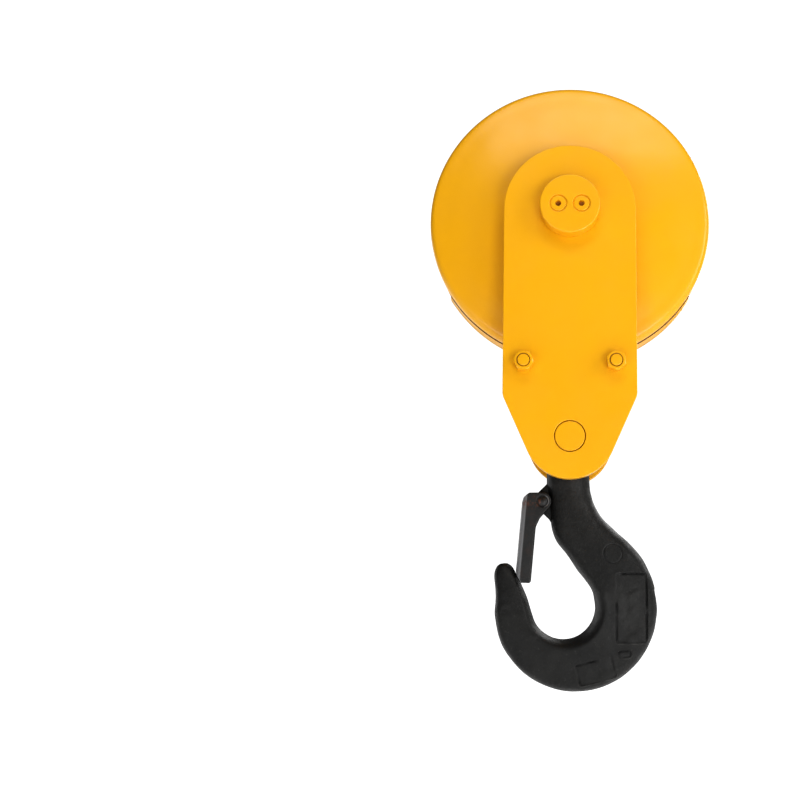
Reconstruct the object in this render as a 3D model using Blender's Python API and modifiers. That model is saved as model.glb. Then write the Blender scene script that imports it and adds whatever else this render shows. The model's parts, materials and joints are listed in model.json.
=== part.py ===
"""Single-sheave crane hook block: side plates, covered rope sheave, swivelling crosshead and latched hook.

Metres, +Z up. The origin is the middle of the sheave axle. Y runs along the axle, with the front at -Y,
X runs across the side plates, and the hook's tip points to -X.
"""

import math

import bmesh
import bpy
from mathutils import Matrix, Vector

MM = 0.001
GAP = 0.3 * MM

# Side plates
PLATE_HALF_WIDTH = 67.4 * MM
PLATE_INNER_Y = 42.5 * MM
PLATE_THICKNESS = 16 * MM
PLATE_OUTER_Y = PLATE_INNER_Y + PLATE_THICKNESS
PLATE_SHOULDER_Z = -193 * MM
PLATE_FOOT_RADIUS = 46.4 * MM
PLATE_FOOT_Z = -230 * MM

# Sheave axle and its end cap
AXLE_RADIUS = 25 * MM
AXLE_HEAD_RADIUS = 32 * MM
AXLE_CAP_RADIUS = 30.5 * MM
BOSS_FACE_Y = 72.5 * MM
CAP_SCREW_X = 11.75 * MM
CAP_SCREW_RADIUS = 5 * MM
CAP_SCREW_HEAD_RADIUS = 8 * MM
CAP_SCREW_END_Y = -36 * MM
CAP_COUNTERBORE_RADIUS = 9 * MM
CAP_COUNTERBORE_Y = -62 * MM

# Tie rods, spacer tubes and nuts
TIE_X = 46 * MM
TIE_Z = -159.5 * MM
TIE_ROD_RADIUS = 5.9 * MM
TIE_ROD_END_Y = 71 * MM
SPACER_RADIUS = 10 * MM
NUT_ACROSS_FLATS = 18 * MM
NUT_HEIGHT = 10.5 * MM

# Covers and the rope guards between them
COVER_THICKNESS = 3 * MM
COVER_FACE_Y = 40 * MM
COVER_PROFILE = [
    (25.6, 40), (52, 40), (84, 37), (111, 33), (132.5, 28.8), (145, 26.2), (148.6, 18.5), (148.7, 16),
]
GUARD_HALF_WIDTH = 15.5 * MM
GUARD_CROWN_RADIUS = 150.9 * MM
GUARD_EDGE_RADIUS = 149.0 * MM
GUARD_THICKNESS = 4 * MM
SLOT_TOP_ANGLE = math.radians(51)
SLOT_BOTTOM_ANGLE = math.radians(-32)

# Sheave and its two ball bearings
SHEAVE_RADIUS = 138 * MM
SHEAVE_HALF_WIDTH = 19.4 * MM
GROOVE_RADIUS = 9.5 * MM
GROOVE_BOTTOM = 112 * MM
GROOVE_FLANK = math.radians(22.5)
HUB_RADIUS = 56 * MM
HUB_HALF_WIDTH = 29 * MM
WEB_HALF_WIDTH = 8 * MM
RIM_INNER_RADIUS = 102 * MM
BEARING_BORE = AXLE_RADIUS + GAP
BEARING_OUTER = 44.7 * MM
BEARING_INNER_Y = 5 * MM
BEARING_OUTER_Y = 25 * MM
BEARING_MID_Y = (BEARING_INNER_Y + BEARING_OUTER_Y) / 2
BALL_PITCH_RADIUS = 35.15 * MM
BALL_RADIUS = 6 * MM
BALL_COUNT = 10

# Crosshead, thrust bearing and hook nut
TRUNNION_Z = -234 * MM
TRUNNION_RADIUS = 15 * MM
TRUNNION_END_Y = PLATE_OUTER_Y - GAP
CROSSHEAD_TOP = -207 * MM
CROSSHEAD_BOTTOM = -247 * MM
CROSSHEAD_HALF_Y = 37 * MM
CROSSHEAD_DEPTH = 38 * MM
CROSSHEAD_FACE_RADIUS = 75 * MM
SHANK_RADIUS = 18 * MM
SHANK_BORE = 18.6 * MM
THRUST_RADIUS = 31 * MM
THRUST_SEAT_Z = -224.6 * MM
THRUST_RACE = 4.3 * MM
THRUST_BALL_RADIUS = 4.2 * MM
THRUST_BALL_COUNT = 12
THRUST_PITCH_RADIUS = 24.7 * MM
NUT_BOTTOM = -206.3 * MM
NUT_TOP = -178 * MM
NUT_RADIUS = 31 * MM
KEY_X = -5.7 * MM
KEY_WIDTH = 5.2 * MM
KEY_BOTTOM = -189 * MM

# Hook: a bowl circle inside an off-centre body circle, reached from a straight neck
SHANK_TOP = -174 * MM
NECK_RADIUS = 22.3 * MM
NECK_OFFSET = -2 * MM
NECK_TOP = -247.6 * MM
BOWL_CENTRE = Vector((-7 * MM, -405.4 * MM))
BOWL_RADIUS = 33.4 * MM
BODY_CENTRE = Vector((5.7 * MM, -406.8 * MM))
BODY_RADIUS = 84.3 * MM
HOOK_RING_POINTS = 28
FLATNESS = 4.5

# Latch
LATCH_PIVOT = Vector((-28.3 * MM, -296.5 * MM))
LATCH_BOSS_RADIUS = 9 * MM
LATCH_HALF_WIDTH = 12.4 * MM
LATCH_SHEET = 2.6 * MM
LATCH_BEND = 6.5 * MM
LATCH_WEB_TOP = Vector((-50.4 * MM, -302 * MM))
LATCH_WEB_BOTTOM = Vector((-55.8 * MM, -366 * MM))
LATCH_PIN_RADIUS = 3 * MM
LUG_RADIUS = 8.6 * MM
LUG_HALF_WIDTH = 4.5 * MM
SPRING_COIL_RADIUS = 5.1 * MM
SPRING_WIRE_RADIUS = 0.7 * MM
SPRING_TURNS = 2

COARSE_STEPS = 16
MEDIUM_STEPS = 24
LARGE_STEPS = 48


def clear_scene():
    for existing in list(bpy.data.objects):
        bpy.data.objects.remove(existing, do_unlink=True)


def new_collection(name):
    collection = bpy.data.collections.new(name)
    bpy.context.scene.collection.children.link(collection)
    return collection


clear_scene()
PARTS = new_collection("crane_hook_block")
CUTTERS = new_collection("cutters")
CUTTERS.hide_render = True


def make_material(name, colour, roughness, metallic):
    material = bpy.data.materials.new(name)
    material.use_nodes = True
    shader = material.node_tree.nodes["Principled BSDF"]
    shader.inputs["Base Color"].default_value = (*colour, 1.0)
    shader.inputs["Roughness"].default_value = roughness
    shader.inputs["Metallic"].default_value = metallic
    return material


YELLOW_PAINT = make_material("yellow_paint", (0.91, 0.43, 0.02), 0.42, 0.0)
FORGED_BLACK = make_material("forged_black", (0.018, 0.018, 0.018), 0.6, 0.0)
BEARING_STEEL = make_material("bearing_steel", (0.55, 0.56, 0.58), 0.25, 1.0)
PLAIN_STEEL = make_material("plain_steel", (0.42, 0.42, 0.42), 0.38, 1.0)
SPRING_STEEL = make_material("spring_steel", (0.2, 0.2, 0.2), 0.35, 1.0)
KEY_STEEL = make_material("key_steel", (0.8, 0.72, 0.52), 0.35, 1.0)


def add_object(name, data, material, collection=PARTS):
    thing = bpy.data.objects.new(name, data)
    collection.objects.link(thing)
    if material:
        data.materials.append(material)
    return thing


def hide_as_cutter(thing):
    thing.hide_render = True
    thing.display_type = "WIRE"
    return thing


def smooth_round(mesh):
    mesh.shade_smooth()
    mesh.set_sharp_from_angle(angle=math.radians(35))


def boolean(target, other, operation):
    modifier = target.modifiers.new(f"{operation.lower()} {other.name}", "BOOLEAN")
    modifier.operation = operation
    modifier.object = other
    modifier.solver = "EXACT"


def signed_area(points):
    return sum(a[0] * b[1] - b[0] * a[1] for a, b in zip(points, points[1:] + points[:1])) / 2


AXIS_TURN = {"Z": Matrix.Identity(4), "Y": Matrix.Rotation(-math.pi / 2, 4, "X")}


def turned(name, profile, material, axis="Y", at=(0, 0, 0), steps=MEDIUM_STEPS, collection=PARTS):
    """A turned solid. The profile is (radius, height) points, with the height along world Y or Z."""
    on_axis = profile[0][0] == 0 and profile[-1][0] == 0
    points = list(profile) if signed_area(list(profile)) < 0 else list(profile)[::-1]
    mesh = bpy.data.meshes.new(name)
    bm = bmesh.new()
    verts = [bm.verts.new((radius, 0, height)) for radius, height in points]
    for a, b in zip(verts, verts[1:]):
        bm.edges.new((a, b))
    if not on_axis:
        bm.edges.new((verts[-1], verts[0]))
    bm.to_mesh(mesh)
    bm.free()
    thing = add_object(name, mesh, material, collection)
    thing.matrix_world = Matrix.Translation(at) @ AXIS_TURN[axis]
    add_screw(thing, steps)
    return thing


def add_screw(thing, steps):
    screw = thing.modifiers.new("turn", "SCREW")
    screw.axis = "Z"
    screw.angle = math.tau
    screw.steps = steps
    screw.render_steps = steps
    screw.use_merge_vertices = True
    screw.merge_threshold = 0.00001
    screw.use_smooth_shade = True


def ring(name, inner, outer, low, high, material, **options):
    profile = [(outer, high), (outer, low), (inner, low), (inner, high)]
    return turned(name, profile, material, **options)


def rod(name, radius, low, high, material, chamfer=0.0, **options):
    """A solid round bar from low to high along its axis, with a chamfer at both ends."""
    if chamfer:
        edge = [(radius - chamfer, high), (radius, high - chamfer)]
        edge += [(radius, low + chamfer), (radius - chamfer, low)]
    else:
        edge = [(radius, high), (radius, low)]
    return turned(name, [(0, high), *edge, (0, low)], material, **options)


def arc(centre, radius, start, end, count):
    """Points on an arc between two angles in degrees, both ends included."""
    angles = [math.radians(start + (end - start) * i / (count - 1)) for i in range(count)]
    return [(centre[0] + radius * math.cos(a), centre[1] + radius * math.sin(a)) for a in angles]


def circle(centre, radius, count):
    return arc(centre, radius, 0, 360 * (count - 1) / count, count)


OUTLINE_TURN = {"Y": Matrix.Rotation(math.pi / 2, 4, "X"), "Z": Matrix.Identity(4)}


def outline_solid(name, loops, low, high, material, axis="Y", collection=PARTS):
    """A flat outline with holes, made solid from low to high along world Y or Z."""
    curve = bpy.data.curves.new(name, "CURVE")
    curve.dimensions = "2D"
    curve.fill_mode = "BOTH"
    curve.extrude = (high - low) / 2
    for loop in loops:
        spline = curve.splines.new("POLY")
        spline.points.add(len(loop) - 1)
        for point, (u, v) in zip(spline.points, loop):
            point.co = (u, v, 0, 1)
        spline.use_cyclic_u = True
    middle = Vector((0, (low + high) / 2, 0)) if axis == "Y" else Vector((0, 0, (low + high) / 2))
    guide = bpy.data.objects.new(name + " outline", curve)
    guide.matrix_world = Matrix.Translation(middle) @ OUTLINE_TURN[axis]
    return as_mesh(guide, name, material, collection)


def as_mesh(guide, name, material, collection=PARTS):
    """The guide curve made a mesh with its caps welded, in a new object with the guide's place."""
    bpy.context.scene.collection.objects.link(guide)
    bpy.context.view_layer.update()
    evaluated = guide.evaluated_get(bpy.context.evaluated_depsgraph_get())
    mesh = bpy.data.meshes.new_from_object(evaluated)
    mesh.name = name
    mesh.materials.clear()
    bm = bmesh.new()
    bm.from_mesh(mesh)
    bmesh.ops.remove_doubles(bm, verts=bm.verts, dist=0.000005)
    bmesh.ops.recalc_face_normals(bm, faces=bm.faces)
    bm.to_mesh(mesh)
    bm.free()
    thing = add_object(name, mesh, material, collection)
    thing.matrix_world = guide.matrix_world.copy()
    bpy.data.objects.remove(guide)
    return thing


def box(name, low, high, material, collection=PARTS):
    mesh = bpy.data.meshes.new(name)
    bm = bmesh.new()
    bmesh.ops.create_cube(bm, size=1)
    size = Vector(high) - Vector(low)
    bmesh.ops.scale(bm, vec=size, verts=bm.verts)
    bm.to_mesh(mesh)
    bm.free()
    thing = add_object(name, mesh, material, collection)
    thing.location = (Vector(low) + Vector(high)) / 2
    return thing


def hexagon(centre, across_flats):
    return arc(centre, across_flats / math.sqrt(3), 30, 330, 6)


def cut(target, cutter):
    boolean(target, hide_as_cutter(cutter), "DIFFERENCE")


def join(target, other):
    boolean(target, hide_as_cutter(other), "UNION")


def plate_outline():
    """Round top about the axle, straight sides, then tangent lines down to the rounded foot."""
    corner = Vector((PLATE_HALF_WIDTH, PLATE_SHOULDER_Z))
    to_foot = Vector((0, PLATE_FOOT_Z)) - corner
    half_angle = math.asin(PLATE_FOOT_RADIUS / to_foot.length)
    tangent = math.degrees(math.atan2(to_foot.y, to_foot.x) + half_angle) + 90
    top = arc((0, 0), PLATE_HALF_WIDTH, 0, 180, 29)
    foot = arc((0, PLATE_FOOT_Z), PLATE_FOOT_RADIUS, -180 - tangent, tangent, 15)
    shoulder = rounded_shoulder(corner, Vector(foot[-1]))
    left_shoulder = [(-x, z) for x, z in shoulder[::-1]]
    return top + left_shoulder + foot + shoulder


def rounded_shoulder(corner, below):
    """Three points that round the shoulder where the straight side meets the taper, from below upwards."""
    reach = 7 * MM
    down = (below - corner).normalized() * reach
    start = corner + down
    end = corner + Vector((0, reach))
    middle = (start + end + 2 * corner) / 4
    return [tuple(start), tuple(middle), tuple(end)]


def make_side_plates():
    holes = [
        circle((0, 0), AXLE_RADIUS + 2 * GAP, MEDIUM_STEPS),
        circle((0, TRUNNION_Z), TRUNNION_RADIUS + 2.5 * GAP, MEDIUM_STEPS),
        circle((-TIE_X, TIE_Z), TIE_ROD_RADIUS + 2 * GAP, COARSE_STEPS),
        circle((TIE_X, TIE_Z), TIE_ROD_RADIUS + 2 * GAP, COARSE_STEPS),
    ]
    loops = [plate_outline(), *holes]
    outline_solid("front_side_plate", loops, -PLATE_OUTER_Y, -PLATE_INNER_Y, YELLOW_PAINT)
    outline_solid("rear_side_plate", loops, PLATE_INNER_Y, PLATE_OUTER_Y, YELLOW_PAINT)


def make_axle():
    head_low = PLATE_OUTER_Y + GAP
    rounding = 3 * MM
    profile = [
        (0, BOSS_FACE_Y),
        (AXLE_HEAD_RADIUS - rounding, BOSS_FACE_Y),
        (AXLE_HEAD_RADIUS - 0.3 * rounding, BOSS_FACE_Y - 0.3 * rounding),
        (AXLE_HEAD_RADIUS, BOSS_FACE_Y - rounding),
        (AXLE_HEAD_RADIUS, head_low),
        (AXLE_RADIUS, head_low),
        (AXLE_RADIUS, -PLATE_OUTER_Y),
        (0, -PLATE_OUTER_Y),
    ]
    axle = turned("sheave_axle", profile, YELLOW_PAINT)
    for x in (-CAP_SCREW_X, CAP_SCREW_X):
        hole = rod(
            "axle screw hole",
            CAP_SCREW_RADIUS + GAP,
            -PLATE_OUTER_Y - 2 * MM,
            CAP_SCREW_END_Y + 2 * MM,
            None,
            at=(x, 0, 0),
            steps=16,
            collection=CUTTERS,
        )
        cut(axle, hole)


def make_end_cap():
    inner_y = -PLATE_OUTER_Y - GAP
    edge = 1 * MM
    profile = [
        (0, inner_y),
        (AXLE_CAP_RADIUS, inner_y),
        (AXLE_CAP_RADIUS, -BOSS_FACE_Y + edge),
        (AXLE_CAP_RADIUS - edge, -BOSS_FACE_Y),
        (0, -BOSS_FACE_Y),
    ]
    cap = turned("axle_end_cap", profile, YELLOW_PAINT)
    for side, x in (("left", -CAP_SCREW_X), ("right", CAP_SCREW_X)):
        cut(cap, stepped_hole(x))
        make_cap_screw(f"{side}_cap_screw", x)


def stepped_hole(x):
    profile = [
        (0, -BOSS_FACE_Y - MM),
        (CAP_COUNTERBORE_RADIUS, -BOSS_FACE_Y - MM),
        (CAP_COUNTERBORE_RADIUS, CAP_COUNTERBORE_Y),
        (CAP_SCREW_RADIUS + GAP, CAP_COUNTERBORE_Y),
        (CAP_SCREW_RADIUS + GAP, -PLATE_OUTER_Y + MM),
        (0, -PLATE_OUTER_Y + MM),
    ]
    return turned("cap screw hole", profile, None, at=(x, 0, 0), steps=20, collection=CUTTERS)


def make_cap_screw(name, x):
    head_top = -BOSS_FACE_Y + 0.6 * MM
    head_bottom = CAP_COUNTERBORE_Y - GAP
    profile = [
        (0, head_top),
        (CAP_SCREW_HEAD_RADIUS - 0.5 * MM, head_top),
        (CAP_SCREW_HEAD_RADIUS, head_top + 0.5 * MM),
        (CAP_SCREW_HEAD_RADIUS, head_bottom),
        (CAP_SCREW_RADIUS, head_bottom),
        (CAP_SCREW_RADIUS, CAP_SCREW_END_Y),
        (0, CAP_SCREW_END_Y),
    ]
    screw = turned(name, profile, YELLOW_PAINT, at=(x, 0, 0), steps=20)
    socket = outline_solid(
        "hex socket", [hexagon((x, 0), 8 * MM)], head_top - MM, head_top + 5 * MM, None, collection=CUTTERS
    )
    cut(screw, socket)


def make_ties():
    nut_low = PLATE_OUTER_Y + GAP
    for side, x in (("left", -TIE_X), ("right", TIE_X)):
        at = (x, 0, TIE_Z)
        end = TIE_ROD_END_Y
        rod(f"{side}_tie_rod", TIE_ROD_RADIUS, -end, end, YELLOW_PAINT, MM, at=at, steps=20)
        ring(
            f"{side}_spacer_tube",
            TIE_ROD_RADIUS + 2 * GAP,
            SPACER_RADIUS,
            -PLATE_INNER_Y + GAP,
            PLATE_INNER_Y - GAP,
            YELLOW_PAINT,
            at=at,
            steps=COARSE_STEPS,
        )
        loops = [hexagon((x, TIE_Z), NUT_ACROSS_FLATS), circle((x, TIE_Z), TIE_ROD_RADIUS + GAP, 20)]
        outline_solid(f"front_{side}_nut", loops, -nut_low - NUT_HEIGHT, -nut_low, YELLOW_PAINT)
        outline_solid(f"rear_{side}_nut", loops, nut_low, nut_low + NUT_HEIGHT, YELLOW_PAINT)


def make_cover(name, side):
    """A dished cover: an open profile turned about the axle and given its sheet thickness inwards."""
    points = [(r * MM, side * y * MM) for r, y in COVER_PROFILE]
    mesh = bpy.data.meshes.new(name)
    bm = bmesh.new()
    verts = [bm.verts.new((radius, 0, height)) for radius, height in points[:: int(side)]]
    for a, b in zip(verts, verts[1:]):
        bm.edges.new((a, b))
    bm.to_mesh(mesh)
    bm.free()
    cover = add_object(name, mesh, YELLOW_PAINT)
    cover.matrix_world = AXIS_TURN["Y"]
    add_screw(cover, LARGE_STEPS)
    shell = cover.modifiers.new("sheet", "SOLIDIFY")
    shell.thickness = COVER_THICKNESS
    shell.offset = -1
    shell.use_even_offset = True


def make_covers():
    make_cover("front_cover", -1)
    make_cover("rear_cover", 1)
    for name, side in (("front", -1), ("rear", 1)):
        low, high = sorted((side * (COVER_FACE_Y + GAP), side * (PLATE_INNER_Y - GAP)))
        ring(f"{name}_cover_shim", AXLE_RADIUS + GAP, 40 * MM, low, high, PLAIN_STEEL)
        inner_face = COVER_FACE_Y - COVER_THICKNESS - GAP
        low, high = sorted((side * (BEARING_OUTER_Y + GAP), side * inner_face))
        ring(f"{name}_hub_spacer", AXLE_RADIUS + GAP, 31 * MM, low, high, PLAIN_STEEL)


def sector(name, start, end):
    """A wedge about the axle between two angles in degrees, wider than a rope guard."""
    reach = 2 * GUARD_CROWN_RADIUS
    loop = [(0, 0), *arc((0, 0), reach, start, end, 7)]
    return outline_solid(name, [loop], -2 * GUARD_HALF_WIDTH, 2 * GUARD_HALF_WIDTH, None, collection=CUTTERS)


def make_guards():
    top = math.degrees(SLOT_TOP_ANGLE)
    bottom = math.degrees(SLOT_BOTTOM_ANGLE)
    spans = {"upper_rope_guard": (top, 180 - top), "lower_rope_guard": (-180 - bottom, bottom)}
    profile = [
        (GUARD_EDGE_RADIUS, -GUARD_HALF_WIDTH),
        (GUARD_CROWN_RADIUS - 0.3 * MM, -0.4 * GUARD_HALF_WIDTH),
        (GUARD_CROWN_RADIUS - 0.3 * MM, 0.4 * GUARD_HALF_WIDTH),
        (GUARD_EDGE_RADIUS, GUARD_HALF_WIDTH),
        (GUARD_EDGE_RADIUS - GUARD_THICKNESS, GUARD_HALF_WIDTH),
        (GUARD_EDGE_RADIUS - GUARD_THICKNESS, -GUARD_HALF_WIDTH),
    ]
    for name, (start, end) in spans.items():
        guard = turned(name, profile, YELLOW_PAINT, steps=LARGE_STEPS)
        boolean(guard, hide_as_cutter(sector(name + " span", start, end)), "INTERSECT")


def groove_profile():
    """The rope groove from one rim edge to the other: straight flanks and a round bottom."""
    centre = GROOVE_BOTTOM + GROOVE_RADIUS
    tangent_radius = centre - GROOVE_RADIUS * math.sin(GROOVE_FLANK)
    tangent_y = GROOVE_RADIUS * math.cos(GROOVE_FLANK)
    rim_y = tangent_y + (SHEAVE_RADIUS - tangent_radius) * math.tan(GROOVE_FLANK)
    start = 180 + math.degrees(GROOVE_FLANK) - 90
    bottom = [(x, y) for x, y in arc((centre, 0), GROOVE_RADIUS, start, 360 - start, 5)]
    return [(SHEAVE_RADIUS, rim_y), *bottom, (SHEAVE_RADIUS, -rim_y)]


def make_sheave():
    bore = BEARING_OUTER + GAP
    shoulder = 40.5 * MM
    circlip_low = BEARING_OUTER_Y + 0.5 * GAP
    circlip_high = circlip_low + 2 * MM
    half = [
        (RIM_INNER_RADIUS + 4 * MM, SHEAVE_HALF_WIDTH),
        (RIM_INNER_RADIUS, WEB_HALF_WIDTH),
        (HUB_RADIUS, WEB_HALF_WIDTH),
        (HUB_RADIUS, HUB_HALF_WIDTH),
        (bore, HUB_HALF_WIDTH),
        (bore, circlip_high),
        (bore + 2 * MM, circlip_high),
        (bore + 2 * MM, circlip_low),
        (bore, circlip_low),
        (bore, BEARING_INNER_Y - GAP),
        (shoulder, BEARING_INNER_Y - GAP),
    ]
    mirrored = [(radius, -y) for radius, y in half[::-1]]
    rim_top = (SHEAVE_RADIUS, SHEAVE_HALF_WIDTH)
    rim_bottom = (SHEAVE_RADIUS, -SHEAVE_HALF_WIDTH)
    profile = [rim_top, *half, *mirrored, rim_bottom, *groove_profile()[::-1]]
    turned("sheave", profile, YELLOW_PAINT, steps=40)


def grooved_ring(name, wall, groove, shoulder, middle, material):
    """A bearing ring: a plain wall on one side and a raceway groove between two shoulders on the other."""
    half = (BEARING_OUTER_Y - BEARING_INNER_Y) / 2
    race = BALL_RADIUS + 2 * GAP
    profile = [
        (wall, middle + half),
        (wall, middle - half),
        (shoulder, middle - half),
        (shoulder, middle - race),
        (groove, middle - 0.5 * race),
        (groove, middle + 0.5 * race),
        (shoulder, middle + race),
        (shoulder, middle + half),
    ]
    turned(name, profile, material)


def ball_set(name, count, pitch_radius, ball_radius, turn, middle):
    """A ring of balls in one mesh, ready to be joined with the cage that holds them."""
    mesh = bpy.data.meshes.new(name)
    bm = bmesh.new()
    for i in range(count):
        angle = math.tau * i / count
        place = Vector((pitch_radius * math.cos(angle), pitch_radius * math.sin(angle), 0))
        bmesh.ops.create_uvsphere(
            bm, u_segments=6, v_segments=5, radius=ball_radius, matrix=Matrix.Translation(place)
        )
    bm.to_mesh(mesh)
    bm.free()
    balls = add_object(name, mesh, None, CUTTERS)
    balls.matrix_world = Matrix.Translation(middle) @ turn
    return balls


def make_radial_bearings():
    groove_clearance = BALL_RADIUS + 2 * GAP
    for side_name, side in (("front", -1), ("rear", 1)):
        middle = side * BEARING_MID_Y
        grooved_ring(
            f"{side_name}_bearing_inner_ring",
            BEARING_BORE,
            BALL_PITCH_RADIUS - groove_clearance,
            31.5 * MM,
            middle,
            BEARING_STEEL,
        )
        grooved_ring(
            f"{side_name}_bearing_outer_ring",
            BEARING_OUTER,
            BALL_PITCH_RADIUS + groove_clearance,
            38.8 * MM,
            middle,
            BEARING_STEEL,
        )
        half = 3.2 * MM
        cage = ring(
            f"{side_name}_bearing_cage", 33.6 * MM, 36.6 * MM, middle - half, middle + half, BEARING_STEEL
        )
        balls = ball_set(
            f"{side_name} balls",
            BALL_COUNT,
            BALL_PITCH_RADIUS,
            BALL_RADIUS,
            AXIS_TURN["Y"],
            (0, middle, 0),
        )
        join(cage, balls)
        make_circlip(f"{side_name}_bearing_circlip", side)
    half = BEARING_INNER_Y - GAP
    ring("bearing_spacer", BEARING_BORE, 31 * MM, -half, half, PLAIN_STEEL)


def make_circlip(name, side):
    """An internal retaining ring: a C with its gap at the bottom, sprung into the hub's groove."""
    outer = BEARING_OUTER + GAP + 1.6 * MM
    inner = BEARING_OUTER - 3.4 * MM
    gap_half = 8
    loop = arc((0, 0), outer, -90 + gap_half, 270 - gap_half, 29)
    loop += arc((0, 0), inner, 270 - gap_half, -90 + gap_half, 29)
    near = BEARING_OUTER_Y + GAP
    low, high = sorted((side * near, side * (near + 1.6 * MM)))
    outline_solid(name, [loop], low, high, SPRING_STEEL)


def crosshead_outline():
    """Plan of the crosshead: two gently curved faces towards +X and -X, and flats towards the plates."""
    half_angle = math.degrees(math.asin(CROSSHEAD_HALF_Y / CROSSHEAD_FACE_RADIUS))
    offset = CROSSHEAD_DEPTH - CROSSHEAD_FACE_RADIUS
    right = arc((offset, 0), CROSSHEAD_FACE_RADIUS, -half_angle, half_angle, 11)
    left = [(-x, -y) for x, y in right]
    return right + left


def make_crosshead():
    body = outline_solid(
        "crosshead", [crosshead_outline()], CROSSHEAD_BOTTOM, CROSSHEAD_TOP, YELLOW_PAINT, axis="Z"
    )
    rounding = body.modifiers.new("edges", "BEVEL")
    rounding.width = 2 * MM
    rounding.segments = 1
    rounding.limit_method = "ANGLE"
    for name, side in (("front", -1), ("rear", 1)):
        low, high = sorted((side * 33 * MM, side * TRUNNION_END_Y))
        join(body, rod(f"{name} trunnion", TRUNNION_RADIUS, low, high, None, 0.8 * MM,
                       at=(0, 0, TRUNNION_Z), collection=CUTTERS))
        low, high = sorted((side * 33 * MM, side * (PLATE_INNER_Y - 2 * GAP)))
        join(body, rod(f"{name} shoulder", 19 * MM, low, high, None,
                       at=(0, 0, TRUNNION_Z), collection=CUTTERS))
    bore = [
        (0, CROSSHEAD_TOP + MM),
        (THRUST_RADIUS + 1.3 * GAP, CROSSHEAD_TOP + MM),
        (THRUST_RADIUS + 1.3 * GAP, THRUST_SEAT_Z),
        (SHANK_BORE, THRUST_SEAT_Z),
        (SHANK_BORE, CROSSHEAD_BOTTOM - MM),
        (0, CROSSHEAD_BOTTOM - MM),
    ]
    cut(body, turned("crosshead bore", bore, None, axis="Z", collection=CUTTERS))


def make_thrust_bearing():
    lower_top = THRUST_SEAT_Z + GAP + THRUST_RACE
    ball_z = lower_top + GAP + THRUST_BALL_RADIUS
    upper_low = ball_z + THRUST_BALL_RADIUS + GAP
    race = {"inner": SHANK_BORE, "outer": THRUST_RADIUS, "material": BEARING_STEEL, "axis": "Z"}
    ring("thrust_bearing_lower_race", low=THRUST_SEAT_Z + GAP, high=lower_top, **race)
    ring("thrust_bearing_upper_race", low=upper_low, high=upper_low + THRUST_RACE, **race)
    half = 1.6 * MM
    cage = ring(
        "thrust_bearing_cage", 22 * MM, 27.4 * MM, ball_z - half, ball_z + half, BEARING_STEEL, axis="Z"
    )
    balls = ball_set(
        "thrust balls",
        THRUST_BALL_COUNT,
        THRUST_PITCH_RADIUS,
        THRUST_BALL_RADIUS,
        Matrix.Identity(4),
        (0, 0, ball_z),
    )
    join(cage, balls)


def make_hook_nut():
    edge = 1.5 * MM
    bore = SHANK_RADIUS + GAP
    profile = [
        (NUT_RADIUS - edge, NUT_TOP),
        (NUT_RADIUS, NUT_TOP - edge),
        (NUT_RADIUS, NUT_BOTTOM + 0.6 * MM),
        (NUT_RADIUS - 0.6 * MM, NUT_BOTTOM),
        (bore, NUT_BOTTOM),
        (bore, NUT_TOP),
    ]
    nut = turned("hook_nut", profile, YELLOW_PAINT, axis="Z")
    half = KEY_WIDTH / 2
    keyway_low = (KEY_X - half - GAP, -NUT_RADIUS - MM, KEY_BOTTOM - GAP)
    keyway_high = (KEY_X + half + GAP, -NUT_RADIUS + 8 * MM, NUT_TOP + MM)
    cut(nut, box("keyway", keyway_low, keyway_high, None, CUTTERS))
    key_low = (KEY_X - half, -NUT_RADIUS + 0.9 * MM, KEY_BOTTOM)
    key_high = (KEY_X + half, -NUT_RADIUS + 7.6 * MM, NUT_TOP - 0.5 * MM)
    box("nut_lock_key", key_low, key_high, KEY_STEEL)


def body_circle_hit(angle):
    """Where the ray from the bowl's centre at this angle meets the body circle."""
    direction = Vector((math.cos(angle), math.sin(angle)))
    offset = BOWL_CENTRE - BODY_CENTRE
    along = offset.dot(direction)
    return BOWL_CENTRE + direction * (-along + math.sqrt(along**2 - offset.length_squared + BODY_RADIUS**2))


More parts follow.
